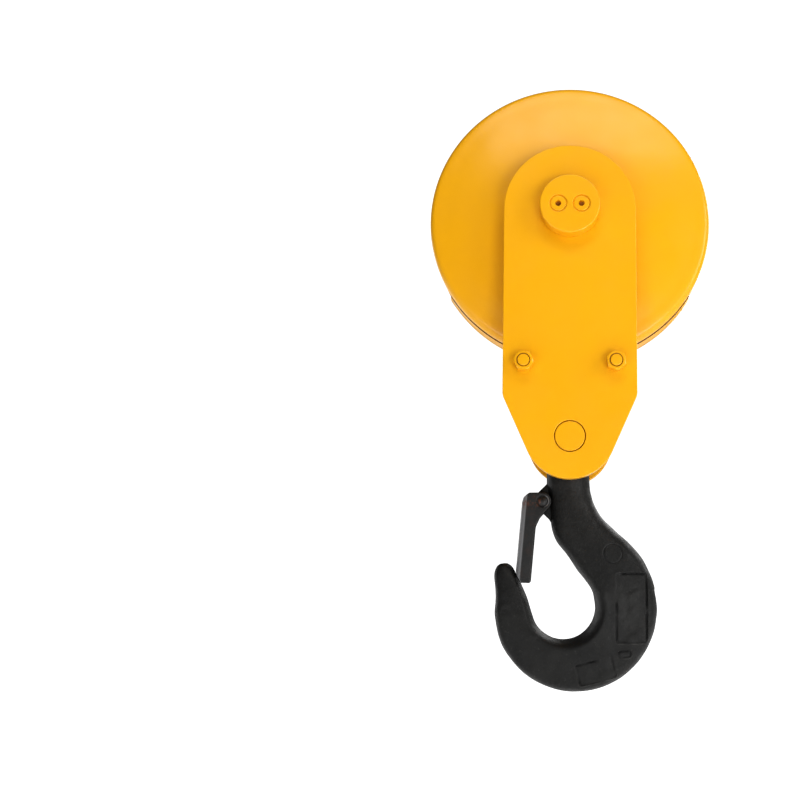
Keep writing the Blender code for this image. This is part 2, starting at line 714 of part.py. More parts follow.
def hook_stations():
    """Cross-sections down the hook as (inner point, outer point, half thickness, inner fullness)."""
    def at(inner_x, inner_z, outer_x, outer_z, half, full):
        return (Vector((inner_x, inner_z)) * MM, Vector((outer_x, outer_z)) * MM, half * MM, full)

    shank = SHANK_RADIUS / MM
    top = SHANK_TOP / MM
    collar = NECK_TOP / MM
    neck = NECK_RADIUS / MM
    left = NECK_OFFSET / MM - neck
    right = NECK_OFFSET / MM + neck
    stations = [
        at(-shank + 1.5, top, shank - 1.5, top, shank - 1.5, 0),
        at(-shank, top - 1.5, shank, top - 1.5, shank, 0),
        at(-shank, collar, shank, collar, shank, 0),
        at(left + 0.8, collar - 0.1, right - 0.8, collar - 0.1, neck - 0.8, 0),
        at(left, collar - 1, right, collar - 1, neck, 0),
        at(left, -277, right, -276, neck, 0),
        at(-22.2, -286, 20.8, -285, 21.4, 0),
        at(-20.6, -293, 22.3, -291, 21, 0),
        at(-20.6, -304, 24.2, -298.5, 20.8, 0),
        at(-18.8, -323, 33.4, -314.5, 21.3, 0.03),
        at(-13.8, -338, 48.8, -328.8, 22.3, 0.06),
        at(-3.4, -351, 63.9, -342, 23.6, 0.10),
        at(6.4, -366.5, 76.3, -358.5, 25, 0.14),
        at(17.8, -380, 84.4, -376.5, 26, 0.17),
        at(23.2, -388.5, 88.2, -388, 26.3, 0.18),
    ]
    for degrees in range(13, -153, -15):
        angle = math.radians(degrees)
        inner = BOWL_CENTRE + BOWL_RADIUS * Vector((math.cos(angle), math.sin(angle)))
        stations.append((inner, body_circle_hit(angle), bowl_half_thickness(degrees) * MM, 0.18))
    stations += [
        at(-40.8, -409, -77, -415, 16, 0.12),
        at(-45, -395.5, -76.8, -399.5, 14.6, 0.06),
        at(-50.8, -382.5, -77.3, -385, 12.7, 0),
        at(-56.6, -371, -79, -373.5, 10.2, 0),
        at(-61, -363.8, -77.1, -365.5, 7, 0),
        at(-66, -361, -72.6, -361.5, 2.8, 0),
    ]
    return stations


def bowl_half_thickness(degrees):
    """Thickest beside the load at the back of the bowl, thinning evenly towards the tip."""
    return 26.5 - 9.5 * (13 - degrees) / 165


def section_ring(bm, station):
    """One section of the forging. The fuller it is, the flatter its sides and the thicker its inner half."""
    inner, outer, half, full = station
    centre = (inner + outer) / 2
    reach = (outer - inner) / 2
    power = 2 / (2 + FLATNESS * full)
    ring_verts = []
    for i in range(HOOK_RING_POINTS):
        angle = math.tau * i / HOOK_RING_POINTS
        across = math.copysign(abs(math.cos(angle)) ** power, math.cos(angle))
        up = math.copysign(abs(math.sin(angle)) ** power, math.sin(angle))
        place = centre + reach * across
        thickness = half * up * (1 - full * across)
        ring_verts.append(bm.verts.new((place.x, thickness, place.y)))
    return ring_verts


def make_hook():
    """The forging, lofted through its unlike sections, with the lug that carries the latch."""
    mesh = bpy.data.meshes.new("hook")
    bm = bmesh.new()
    rings = [section_ring(bm, station) for station in hook_stations()]
    for upper, lower in zip(rings, rings[1:]):
        for i in range(HOOK_RING_POINTS):
            j = (i + 1) % HOOK_RING_POINTS
            bm.faces.new((upper[i], upper[j], lower[j], lower[i]))
    bm.faces.new(rings[0])
    bm.faces.new(rings[-1])
    bmesh.ops.recalc_face_normals(bm, faces=bm.faces)
    bm.to_mesh(mesh)
    bm.free()
    smooth_round(mesh)
    hook = add_object("hook", mesh, FORGED_BLACK)
    lug = outline_solid(
        "latch lug", [lug_outline()], -LUG_HALF_WIDTH, LUG_HALF_WIDTH, None, collection=CUTTERS
    )
    join(hook, lug)
    pin_hole = rod(
        "latch pin hole",
        LATCH_PIN_RADIUS + GAP,
        -2 * LUG_HALF_WIDTH,
        2 * LUG_HALF_WIDTH,
        None,
        at=(LATCH_PIVOT.x, 0, LATCH_PIVOT.y),
        steps=16,
        collection=CUTTERS,
    )
    cut(hook, pin_hole)


def lug_outline():
    """A round nose about the latch pin, faired into the neck above and the hook's back below."""
    above = [(-10, -262), (-22, -275.2), (-24.8, -278.8), (-33.6, -287.6)]
    below = [(-27.8, -309), (-21.4, -315.2), (-18, -320.5), (-8, -332)]
    nose = arc(LATCH_PIVOT, LUG_RADIUS, 140, 250, 9)
    return [(x * MM, z * MM) for x, z in above] + nose + [(x * MM, z * MM) for x, z in below]


def latch_outline():
    """Side view of the latch: round boss on the pivot, straight blade, and a heel inside the hook's tip."""
    boss = arc(LATCH_PIVOT, LATCH_BOSS_RADIUS, 90, -50, 9)
    inner_edge = [(-31.9, -313.8), (-36.2, -323), (-41.2, -380.8)]
    heel = [(-50.6, -380.4), (-54.9, -372.6), (-56.8, -366)]
    back = [(-51.4, -302), (-48.4, -292.5), (-42.5, -287.6)]
    return boss + [(x * MM, z * MM) for x, z in inner_edge + heel + back]


def latch_block(name, inset, bend):
    """A long block with two rounded edges, set in from the latch's web and cheeks."""
    half = LATCH_HALF_WIDTH - inset
    far = 60 * MM
    outline = arc((inset + bend, half - bend), bend, 90, 180, 5)
    outline += arc((inset + bend, bend - half), bend, 180, 270, 5)
    outline += [(far, -half), (far, half)]
    block = outline_solid(name, [outline], -100 * MM, 40 * MM, None, "Z", CUTTERS)
    along = LATCH_WEB_TOP - LATCH_WEB_BOTTOM
    lean = Matrix.Rotation(math.atan2(along.x, along.y), 4, "Y")
    block.matrix_world = Matrix.Translation((LATCH_WEB_TOP.x, 0, LATCH_WEB_TOP.y)) @ lean @ block.matrix_world
    return block


def make_latch():
    """A sheet-metal channel: two cheeks and a rounded back web towards -X, open towards the hook's back."""
    latch = outline_solid(
        "latch", [latch_outline()], -LATCH_HALF_WIDTH - MM, LATCH_HALF_WIDTH + MM, FORGED_BLACK
    )
    boolean(latch, latch_block("latch outside", 0, LATCH_BEND), "INTERSECT")
    cut(latch, latch_block("latch inside", LATCH_SHEET, LATCH_BEND - LATCH_SHEET))
    hole = rod(
        "latch cheek hole",
        LATCH_PIN_RADIUS + GAP,
        -2 * LATCH_HALF_WIDTH,
        2 * LATCH_HALF_WIDTH,
        None,
        at=(LATCH_PIVOT.x, 0, LATCH_PIVOT.y),
        steps=16,
        collection=CUTTERS,
    )
    cut(latch, hole)


def make_latch_pin():
    head_low = LATCH_HALF_WIDTH + GAP
    head_high = head_low + 1.5 * MM
    head = LATCH_PIN_RADIUS + 1.6 * MM
    half = [(0, head_high), (head - 0.5 * MM, head_high), (head, head_high - 0.5 * MM), (head, head_low)]
    half += [(LATCH_PIN_RADIUS, head_low)]
    profile = half + [(radius, -y) for radius, y in half[::-1]]
    turned("latch_pin", profile, FORGED_BLACK, at=(LATCH_PIVOT.x, 0, LATCH_PIVOT.y), steps=16)


def make_latch_spring():
    """A torsion spring round the pin: one leg along the latch's web, one short leg towards the neck."""
    start_y = LUG_HALF_WIDTH + GAP + SPRING_WIRE_RADIUS
    rise = 2 * SPRING_WIRE_RADIUS + 0.8 * GAP
    count = 12 * SPRING_TURNS
    start_angle = math.radians(215)
    points = []
    for i in range(count + 1):
        angle = start_angle + math.tau * SPRING_TURNS * i / count
        points.append(
            Vector((
                LATCH_PIVOT.x + SPRING_COIL_RADIUS * math.cos(angle),
                start_y + rise * SPRING_TURNS * i / count,
                LATCH_PIVOT.y + SPRING_COIL_RADIUS * math.sin(angle),
            ))
        )
    first, last = points[0], points[-1]
    web_leg = [Vector((-44.6 * MM, last.y, -315 * MM)), Vector((-41 * MM, last.y, -306.5 * MM))]
    tangent = Vector((math.sin(start_angle), 0, -math.cos(start_angle)))
    neck_leg = [first + tangent * 3 * MM]
    make_wire("latch_spring", [*neck_leg, *points, *web_leg[::-1]], SPRING_WIRE_RADIUS, SPRING_STEEL)


def make_wire(name, points, radius, material):
    curve = bpy.data.curves.new(name, "CURVE")
    curve.dimensions = "3D"
    curve.bevel_depth = radius
    curve.bevel_resolution = 2
    curve.use_fill_caps = True
    spline = curve.splines.new("POLY")
    spline.points.add(len(points) - 1)
    for point, place in zip(spline.points, points):
        point.co = (*place, 1)
    add_object(name, curve, material)


make_side_plates()
make_axle()
make_end_cap()
make_ties()
make_covers()
make_guards()
make_sheave()
make_radial_bearings()
make_crosshead()
make_thrust_bearing()
make_hook_nut()
make_hook()
make_latch()
make_latch_pin()
make_latch_spring()
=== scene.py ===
"""Looks for the crane hook block: painted side plates and covers, rope sheave, crosshead and forged hook.

Every detailed piece stands where its CAD node stands. Lengths are metres, Z is up, and the front is at -Y.
"""

import json
import math

import bmesh
import bpy
import numpy as np
from mathutils import Matrix, Vector, noise


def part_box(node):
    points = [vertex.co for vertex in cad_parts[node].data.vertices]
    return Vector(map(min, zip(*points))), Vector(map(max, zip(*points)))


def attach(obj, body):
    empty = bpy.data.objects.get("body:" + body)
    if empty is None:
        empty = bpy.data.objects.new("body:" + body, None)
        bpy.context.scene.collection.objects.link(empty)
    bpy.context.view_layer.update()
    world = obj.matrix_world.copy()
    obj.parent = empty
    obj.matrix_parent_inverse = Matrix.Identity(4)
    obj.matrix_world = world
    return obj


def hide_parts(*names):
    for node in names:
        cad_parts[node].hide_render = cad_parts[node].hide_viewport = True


MM = 0.001
CLEARANCE = 0.3 * MM

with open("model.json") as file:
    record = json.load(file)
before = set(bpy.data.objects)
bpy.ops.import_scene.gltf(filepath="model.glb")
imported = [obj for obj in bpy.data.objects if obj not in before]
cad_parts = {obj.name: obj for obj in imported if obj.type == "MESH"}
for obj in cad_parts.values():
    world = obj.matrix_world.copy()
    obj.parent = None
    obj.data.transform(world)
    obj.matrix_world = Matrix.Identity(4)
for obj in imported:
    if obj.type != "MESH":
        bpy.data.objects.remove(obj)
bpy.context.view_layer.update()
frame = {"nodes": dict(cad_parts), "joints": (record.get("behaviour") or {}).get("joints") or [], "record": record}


def joint_place(name):
    return next(Vector(joint["pos_m"]) for joint in frame["joints"] if joint["name"] == name)


PLATE_LOW, PLATE_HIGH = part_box("rear_side_plate")
GUARD_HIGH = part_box("lower_rope_guard")[1]
CAP_LOW, CAP_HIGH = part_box("axle_end_cap")
AXLE_LOW, AXLE_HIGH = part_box("sheave_axle")
NUT_LOW, NUT_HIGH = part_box("hook_nut")
CROSSHEAD_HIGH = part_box("crosshead")[1]
HOOK_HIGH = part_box("hook")[1]
TRUNNION = joint_place("crosshead_swing")
LATCH_PIVOT = joint_place("latch_hinge")

# Side plates
PLATE_INNER_Y = PLATE_LOW.y
PLATE_OUTER_Y = PLATE_HIGH.y
PLATE_HALF_WIDTH = PLATE_HIGH.x
PLATE_SHOULDER_Z = -193 * MM
PLATE_FOOT_RADIUS = 46.4 * MM
PLATE_FOOT_Z = PLATE_LOW.z + PLATE_FOOT_RADIUS
PLATE_EDGE = 0.9 * MM
AXLE_RADIUS = 25 * MM
AXLE_HEAD_RADIUS = 32 * MM
AXLE_HOLE_RADIUS = 25.6 * MM
TRUNNION_RADIUS = 15 * MM
TRUNNION_SHOULDER_RADIUS = 19 * MM
TRUNNION_HOLE_RADIUS = 15.75 * MM

# Tie rods
TIE_X = 46 * MM
TIE_Z = -159.5 * MM
STUD_RADIUS = 5.9 * MM
STUD_PITCH = 1.75 * MM
STUD_THREAD_DEPTH = 0.55 * MM
STUD_END_Y = 71 * MM
TIE_BORE = STUD_RADIUS + 0.6 * MM
TUBE_RADIUS = 10 * MM
TIE_NUT_FLATS = 18 * MM
TIE_NUT_CORNER = 10.2 * MM
TIE_NUT_HEIGHT = 10.5 * MM
TIE_NUT_TURNS = {"front_left": 26, "front_right": 8, "rear_left": 12, "rear_right": 33}
CORNER_SLOPE = 0.58

# Covers and rope guards
COVER_POINTS = [
    (25.6, 40), (40, 40), (52, 39.6), (68, 38.4), (84, 36.8), (98, 35), (111, 33), (122, 31),
    (132.5, 28.8), (139, 27.6), (144.2, 26.2), (146.8, 23.6), (148.4, 20.3), (148.7, 16),
]
COVER_SHEET = 3 * MM
SHIM_RADIUS = 40 * MM
SPACER_RADIUS = 31 * MM
GUARD_HALF_WIDTH = GUARD_HIGH.y - 0.8 * MM
GUARD_CROWN = 150.9 * MM
GUARD_EDGE = 149.2 * MM
GUARD_SHEET = 4 * MM
SEAM_WIDTH = 1.1 * MM
GUARD_TRIM = 0.6 * MM
GUARD_STEP = 1.5
SLOT_TOP = 51
SLOT_BOTTOM = -32

# Sheave
SHEAVE_RADIUS = 138 * MM
SHEAVE_HALF_WIDTH = 19.4 * MM
GROOVE_RADIUS = 9.5 * MM
GROOVE_CENTRE = 121.5 * MM
HUB_RADIUS = 56 * MM
HUB_HALF_WIDTH = 29 * MM
HUB_BORE = 45 * MM
HUB_LIP_RADIUS = 40.5 * MM
HUB_LIP_HALF_WIDTH = 4.7 * MM
WEB_HALF_WIDTH = 8 * MM
RIM_INNER_RADIUS = 102 * MM

# Crosshead, hook nut and key
CROSSHEAD_HALF_Y = 37 * MM
CROSSHEAD_HALF_X = CROSSHEAD_HIGH.x
CROSSHEAD_FACE_RADIUS = 75 * MM
CROSSHEAD_BOTTOM = -247 * MM
CROSSHEAD_SEAT_Z = -224.6 * MM
NUT_BORE = 31.4 * MM
SHANK_RADIUS = 18 * MM
SHANK_BORE = 18.6 * MM
SHANK_FOOT_Z = -250 * MM
SHANK_PLAIN_TOP_Z = -215 * MM
SHANK_PITCH = 3 * MM
SHANK_THREAD_DEPTH = 1.2 * MM
NUT_RADIUS = 31 * MM
KEY_X = -5.7 * MM
KEY_WIDTH = 5.2 * MM
KEY_BOTTOM = -189 * MM
SLOT_DEPTH = 8 * MM

# Cap screws and the stepped holes they sit in
SCREW_X = 11.75 * MM
SCREW_HEAD_RADIUS = 8 * MM
COUNTERBORE_RADIUS = 9 * MM
SEAT_RADIUS = 8.06 * MM
COUNTERBORE_Y = -62 * MM
SCREW_HOLE_RADIUS = 5.3 * MM
SCREW_SHANK_RADIUS = 4.9 * MM
SOCKET_FLATS = 5.5 * MM
SOCKET_DEPTH = 4 * MM
SOCKET_TURNS = {"left": 11, "right": 23}

# Steps round a circle, by the size of the piece
FINE = 192
MIDDLE = 96
SMALL = 48


# ---------------------------------------------------------------- outlines

def arc(centre, radius, start, end, count):
    """Points on an arc between two angles in degrees, both ends included."""
    angles = [math.radians(start + (end - start) * i / (count - 1)) for i in range(count)]
    return [Vector((centre[0] + radius * math.cos(a), centre[1] + radius * math.sin(a))) for a in angles]


def circle(centre, radius, count=MIDDLE):
    return arc(centre, radius, 0, 360 * (count - 1) / count, count)


def hexagon(centre, across_flats, turn=0):
    return arc(centre, across_flats / math.sqrt(3), 30 + turn, 330 + turn, 6)


def rounded(corners, closed=True, count=5):
    """The polygon with each corner (u, v, radius) turned into an arc. A radius of 0 keeps the corner."""
    points = []
    last = len(corners) - 1
    for i, (u, v, radius) in enumerate(corners):
        here = Vector((u, v))
        if radius == 0 or (not closed and i in (0, last)):
            points.append(here)
            continue
        before = (Vector(corners[i - 1][:2]) - here).normalized()
        after = (Vector(corners[(i + 1) % len(corners)][:2]) - here).normalized()
        half = before.angle(after) / 2
        centre = here + (before + after).normalized() * radius / math.sin(half)
        start = here + before * radius / math.tan(half) - centre
        end = here + after * radius / math.tan(half) - centre
        first = math.atan2(start.y, start.x)
        sweep = (math.atan2(end.y, end.x) - first + math.pi) % math.tau - math.pi
        for k in range(count + 1):
            angle = first + sweep * k / count
            points.append(centre + radius * Vector((math.cos(angle), math.sin(angle))))
    return points


def spline(points, closed, per_span):
    """A Catmull-Rom curve through the points, which may have any number of coordinates."""
    points = np.array(points, float)
    n = len(points)
    spans = n if closed else n - 1
    made = []
    for i in range(spans):
        if closed:
            p0, p1, p2, p3 = (points[(i + k - 1) % n] for k in range(4))
        else:
            p0, p1, p2, p3 = (points[min(max(i + k - 1, 0), n - 1)] for k in range(4))
        for k in range(per_span):
            t = k / per_span
            made.append(
                0.5 * (2 * p1 + (p2 - p0) * t + (2 * p0 - 5 * p1 + 4 * p2 - p3) * t**2
                       + (3 * p1 - p0 - 3 * p2 + p3) * t**3)
            )
    if not closed:
        made.append(points[-1])
    return made


def signed_area(points):
    pairs = zip(points, points[1:] + points[:1])
    return sum(a[0] * b[1] - b[0] * a[1] for a, b in pairs) / 2


def offset_loop(points, distance):
    """Every point of a closed loop moved to its left, mitred at the corners."""
    moved = []
    for before, here, after in zip(points[-1:] + points[:-1], points, points[1:] + points[:1]):
        a = (here - before).normalized()
        b = (after - here).normalized()
        left = Vector((-a.y, a.x))
        bisector = (left + Vector((-b.y, b.x))).normalized()
        moved.append(here + bisector * distance / max(0.5, bisector.dot(left)))
    return moved


# ---------------------------------------------------------------- solids

PLACE = {
    "Y": lambda u, v, w: Vector((u, w, v)),
    "Z": lambda u, v, w: Vector((u, v, w)),
}


def mesh_of(name, bm):
    bmesh.ops.recalc_face_normals(bm, faces=bm.faces)
    mesh = bpy.data.meshes.new(name)
    bm.to_mesh(mesh)
    bm.free()
    return mesh


def join_rings(bm, rings, closed):
    for lower, upper in zip(rings, rings[1:] + (rings[:1] if closed else [])):
        count = max(len(lower), len(upper))
        for i in range(count):
            j = (i + 1) % count
            if len(lower) == 1:
                bm.faces.new((lower[0], upper[j], upper[i]))
            elif len(upper) == 1:
                bm.faces.new((lower[i], lower[j], upper[0]))
            else:
                bm.faces.new((lower[i], lower[j], upper[j], upper[i]))


def skinned(name, bm, rings):
    """A closed mesh over a row of rings, with a flat face at each end."""
    join_rings(bm, rings, closed=False)
    bm.faces.new(rings[0])
    bm.faces.new(rings[-1])
    return mesh_of(name, bm)


def lathe(name, profile, axis="Y", at=(0, 0, 0), steps=FINE):
    """A turned solid. The profile is (radius, height) points, and closes on itself or on the axis."""
    bm = bmesh.new()
    rings = []
    for radius, height in profile:
        if radius < 1e-7:
            spots = [(0, 0)]
        else:
            spots = [(radius * math.cos(math.tau * i / steps), radius * math.sin(math.tau * i / steps))
                     for i in range(steps)]
        rings.append([bm.verts.new(PLACE[axis](u, v, height) + Vector(at)) for u, v in spots])
    join_rings(bm, rings, closed=len(rings[0]) > 1)
    return mesh_of(name, bm)


def prism(name, loops, low, high, edge=0.0, axis="Y", count=4):
    """A flat outline with holes, solid from low to high, with its edges rounded to the radius edge."""
    turned = [loops[0] if signed_area(loops[0]) > 0 else loops[0][::-1]]
    turned += [loop if signed_area(loop) < 0 else loop[::-1] for loop in loops[1:]]
    if edge:
        steps = [math.pi / 2 * k / count for k in range(count + 1)]
        layers = [(edge * (1 - math.sin(t)), low + edge * (1 - math.cos(t))) for t in steps]
        layers += [(inset, low + high - height) for inset, height in layers[::-1]]
    else:
        layers = [(0, low), (0, high)]
    bm = bmesh.new()
    ends = ([], [])
    for loop in turned:
        rings = []
        for inset, height in layers:
            points = offset_loop(loop, inset) if inset else loop
            rings.append([bm.verts.new(PLACE[axis](p[0], p[1], height)) for p in points])
        join_rings(bm, rings, closed=False)
        for end, ring in zip(ends, (rings[0], rings[-1])):
            end += [bm.edges.get((a, b)) for a, b in zip(ring, ring[1:] + ring[:1])]
    for end in ends:
        bmesh.ops.triangle_fill(bm, use_beauty=True, use_dissolve=False, edges=end)
    return mesh_of(name, bm)


def new_object(name, data):
    made = bpy.data.objects.new(name, data)
    bpy.context.scene.collection.objects.link(made)
    return made


def evaluated(holder):
    """The holder's mesh with its modifiers applied. The holder is removed."""
    bpy.context.view_layer.update()
    mesh = bpy.data.meshes.new_from_object(holder.evaluated_get(bpy.context.evaluated_depsgraph_get()))
    bpy.data.objects.remove(holder)
    return mesh


def welded(mesh, distance=0.002 * MM):
    """The mesh with points that lie together made one, and faces without area removed."""
    bm = bmesh.new()
    bm.from_mesh(mesh)
    bmesh.ops.remove_doubles(bm, verts=bm.verts, dist=distance)
    bmesh.ops.dissolve_degenerate(bm, edges=bm.edges, dist=distance)
    bm.to_mesh(mesh)
    bm.free()
    return mesh


def combine(mesh, others, operation="DIFFERENCE"):
    """The mesh with the others cut from it, joined to it or kept in common with it."""
    holder = new_object(mesh.name, mesh)
    helpers = [new_object(other.name, other) for other in others]
    for helper in helpers:
        modifier = holder.modifiers.new("combine", "BOOLEAN")
        modifier.object = helper
        modifier.operation = operation
        modifier.solver = "EXACT"
    made = evaluated(holder)
    for helper in helpers:
        bpy.data.objects.remove(helper)
    return welded(made)


def softened(mesh, voxel, passes):
    """The mesh rebuilt in even small faces and smoothed, as a forging or pressing is soft at its edges."""
    holder = new_object(mesh.name, mesh)
    remesh = holder.modifiers.new("even", "REMESH")
    remesh.mode = "VOXEL"
    remesh.voxel_size = voxel
    smooth = holder.modifiers.new("soft", "SMOOTH")
    smooth.factor = 0.5
    smooth.iterations = passes
    return evaluated(holder)


def put(name, mesh, body, material, nodes=(), angle=38, smooth_all=False):
    """Shows a mesh as a piece that rides on a body, in place of the CAD nodes named."""
    piece = new_object(name, mesh)
    mesh.materials.clear()
    mesh.materials.append(material)
    mesh.shade_smooth()
    if not smooth_all:
        mesh.set_sharp_from_angle(angle=math.radians(angle))
        weighted = piece.modifiers.new("flat faces", "WEIGHTED_NORMAL")
        weighted.keep_sharp = True
    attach(piece, body)
    if nodes:
        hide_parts(*nodes)
    return piece


# ---------------------------------------------------------------- materials

class Nodes:
    """A material's node tree, with short calls for the nodes that the finishes share."""

    def __init__(self, name):
        self.material = bpy.data.materials.new(name)
        self.material.use_nodes = True
        self.tree = self.material.node_tree
        self.shader = self.tree.nodes["Principled BSDF"]
        self.place = self.tree.nodes.new("ShaderNodeTexCoord").outputs["Object"]

    def link(self, output, target):
        self.tree.links.new(output, target)

    def value(self, socket, number):
        self.shader.inputs[socket].default_value = number

    def feed(self, socket, source):
        self.link(source, self.shader.inputs[socket])

    def noise(self, scale, detail=3.0, roughness=0.5, stretch=None):
        node = self.tree.nodes.new("ShaderNodeTexNoise")
        node.inputs["Scale"].default_value = scale
        node.inputs["Detail"].default_value = detail
        node.inputs["Roughness"].default_value = roughness
        self.link(self.stretched(stretch), node.inputs["Vector"])
        return node.outputs["Fac"]

    def stretched(self, stretch):
        if stretch is None:
            return self.place
        node = self.tree.nodes.new("ShaderNodeMapping")
        node.inputs["Scale"].default_value = stretch
        self.link(self.place, node.inputs["Vector"])
        return node.outputs["Vector"]

    def spots(self, scale):
        node = self.tree.nodes.new("ShaderNodeTexVoronoi")
        node.inputs["Scale"].default_value = scale
        self.link(self.place, node.inputs["Vector"])
        return node.outputs["Distance"]

    def span(self, source, low, high, start, end):
        """The source's range low to high, made start to end."""
        node = self.tree.nodes.new("ShaderNodeMapRange")
        for socket, number in zip(("From Min", "From Max", "To Min", "To Max"), (low, high, start, end)):
            node.inputs[socket].default_value = number
        self.link(source, node.inputs["Value"])
        return node.outputs["Result"]

    def mix(self, factor, first, second):
        node = self.tree.nodes.new("ShaderNodeMix")
        node.data_type = "RGBA"
        self.link(factor, node.inputs["Factor"])
        for socket, source in ((6, first), (7, second)):
            if isinstance(source, tuple):
                node.inputs[socket].default_value = (*source, 1.0)
            else:
                self.link(source, node.inputs[socket])
        return node.outputs[2]

    def times(self, first, second):
        node = self.tree.nodes.new("ShaderNodeMath")
        node.operation = "MULTIPLY"
        self.link(first, node.inputs[0])
        self.link(second, node.inputs[1])
        return node.outputs[0]

    def attribute(self, name):
        node = self.tree.nodes.new("ShaderNodeAttribute")
        node.attribute_name = name
        return node.outputs["Fac"]

    def height_band(self, low, high):
        """1 below low, 0 above high, by height on the object."""
        split = self.tree.nodes.new("ShaderNodeSeparateXYZ")
        self.link(self.place, split.inputs[0])
        return self.span(split.outputs["Z"], low, high, 1.0, 0.0)

    def bump(self, layers):
        """Bumps on bumps. Each layer is (source, depth in metres)."""
        normal = None
        for source, depth in layers:
            node = self.tree.nodes.new("ShaderNodeBump")
            node.inputs["Distance"].default_value = depth
            self.link(source, node.inputs["Height"])
            if normal:
                self.link(normal, node.inputs["Normal"])
            normal = node.outputs["Normal"]
        self.feed("Normal", normal)


def enamel(name, colour, deep, gloss=0.33):
    """Sprayed machine enamel: slight unevenness of colour, orange peel and a few dust nibs."""
    nodes = Nodes(name)
    cloud = nodes.span(nodes.noise(9, 4, 0.55), 0.3, 0.7, 0.0, 1.0)
    base = nodes.mix(cloud, colour, deep)
    speck = nodes.span(nodes.spots(160), 0.02, 0.05, 0.55, 0.0)
    marked = nodes.mix(speck, base, tuple(0.62 * c for c in deep))
    nodes.feed("Base Color", marked)
    nodes.feed("Roughness", nodes.span(nodes.noise(35, 3, 0.6), 0.25, 0.75, gloss - 0.05, gloss + 0.09))
    nodes.value("Specular IOR Level", 0.35)
    nodes.value("Coat Weight", 0.2)
    nodes.value("Coat Roughness", 0.17)
    nodes.bump([(nodes.noise(520, 2, 0.5), 0.00006), (nodes.noise(60, 2, 0.4), 0.0003)])
    return nodes.material


def forged(name):
    """Matt black paint over a forging: scale, pits, dust, painted shade in the grooves round the sunk marks, and
    lighter patchy rims on the marks that are partly wear and partly a painted highlight.
    """
    nodes = Nodes(name)
    cloud = nodes.span(nodes.noise(22, 5, 0.6), 0.3, 0.7, 0.0, 1.0)
    base = nodes.mix(cloud, (0.008, 0.008, 0.0078), (0.016, 0.0157, 0.0145))
    dust = nodes.span(nodes.noise(240, 4, 0.7), 0.6, 0.78, 0.0, 0.35)
    dusty = nodes.mix(dust, base, (0.07, 0.066, 0.06))
    # Painted shade: near black in the grooves round the sunk marks.
    groove_shaded_colour = nodes.mix(nodes.attribute("groove_shade"), dusty, (0.002, 0.002, 0.002))
    patchy = nodes.span(nodes.noise(90, 3, 0.6), 0.42, 0.6, 0.1, 0.9)
    # Wear and painted highlight: the marks' rims lightened in patches, most along their lower edges.
    worn_and_highlit = nodes.times(nodes.attribute("wear_and_highlight"), patchy)
    nodes.feed("Base Color", nodes.mix(worn_and_highlit, groove_shaded_colour, (0.055, 0.054, 0.051)))
    nodes.feed("Roughness", nodes.span(nodes.noise(70, 4, 0.6), 0.3, 0.7, 0.44, 0.64))
    nodes.value("Specular IOR Level", 0.28)
    pits = nodes.span(nodes.spots(210), 0.0, 0.3, 0.0, 1.0)
    nodes.bump([(nodes.noise(900, 3, 0.6), 0.00012), (pits, 0.0001), (nodes.noise(75, 4, 0.55), 0.0009)])
    return nodes.material


def pressed_black(name):
    """Thin black paint on pressed steel, worn to brown primer and rust near the top of its edges, with a pale grey
    painted highlight along its bends.
    """
    nodes = Nodes(name)
    worn = nodes.times(nodes.span(nodes.noise(130, 5, 0.65), 0.52, 0.62, 0.0, 1.0),
                       nodes.span(nodes.height_band(-0.306, -0.296), 0.0, 1.0, 0.9, 0.06))
    base = nodes.mix(nodes.noise(40, 4, 0.6), (0.006, 0.006, 0.006), (0.013, 0.0127, 0.012))
    # Painted highlight: pale grey on the latch's bends.
    worn_and_highlit = nodes.mix(nodes.attribute("wear_and_highlight"), base, (0.18, 0.18, 0.185))
    nodes.feed("Base Color", nodes.mix(worn, worn_and_highlit, (0.13, 0.038, 0.014)))
    nodes.feed("Roughness", nodes.span(nodes.noise(90, 3, 0.6), 0.3, 0.7, 0.38, 0.55))
    nodes.bump([(nodes.noise(800, 3, 0.6), 0.00008), (nodes.noise(110, 3, 0.5), 0.0003)])
    return nodes.material


def shade_finish(name, colour, deep):
    """Dark brown painted shade with a little unevenness, for the inside of a seam, a socket or a bore."""
    nodes = Nodes(name)
    cloud = nodes.noise(150, 4, 0.6)
    nodes.feed("Base Color", nodes.mix(nodes.span(cloud, 0.3, 0.7, 0.0, 1.0), colour, deep))
    nodes.feed("Roughness", nodes.span(cloud, 0.3, 0.7, 0.6, 0.85))
    nodes.bump([(nodes.noise(500, 3, 0.6), 0.0001)])
    return nodes.material


def steel(name, colour, rough, streaks):
    """Machined or drawn steel with fine streaks along one direction."""
    nodes = Nodes(name)
    lines = nodes.noise(400, 4, 0.6, streaks)
    darker = tuple(0.82 * c for c in colour)
    nodes.feed("Base Color", nodes.mix(nodes.span(lines, 0.3, 0.7, 0.0, 1.0), darker, colour))
    nodes.feed("Roughness", nodes.span(lines, 0.3, 0.7, rough - 0.06, rough + 0.1))
    nodes.value("Metallic", 1.0)
    nodes.bump([(lines, 0.00003)])
    return nodes.material


PAINT = enamel("orange_yellow_enamel", (0.86, 0.425, 0.006), (0.83, 0.395, 0.004))
FORGING = forged("black_forging")
PRESSING = pressed_black("black_pressing")
GROUND_STEEL = steel("ground_steel", (0.6, 0.61, 0.62), 0.22, (1, 12, 1))
TURNED_STEEL = steel("turned_steel", (0.45, 0.45, 0.44), 0.36, (1, 14, 1))
SPRING_STEEL = steel("spring_steel", (0.22, 0.22, 0.22), 0.34, (1, 1, 6))
# Painted shade: dark brown along the seams between the rope guards and the dished covers.
SEAM_SHADE = shade_finish("painted_shade_in_seams", (0.13, 0.05, 0.007), (0.05, 0.02, 0.005))
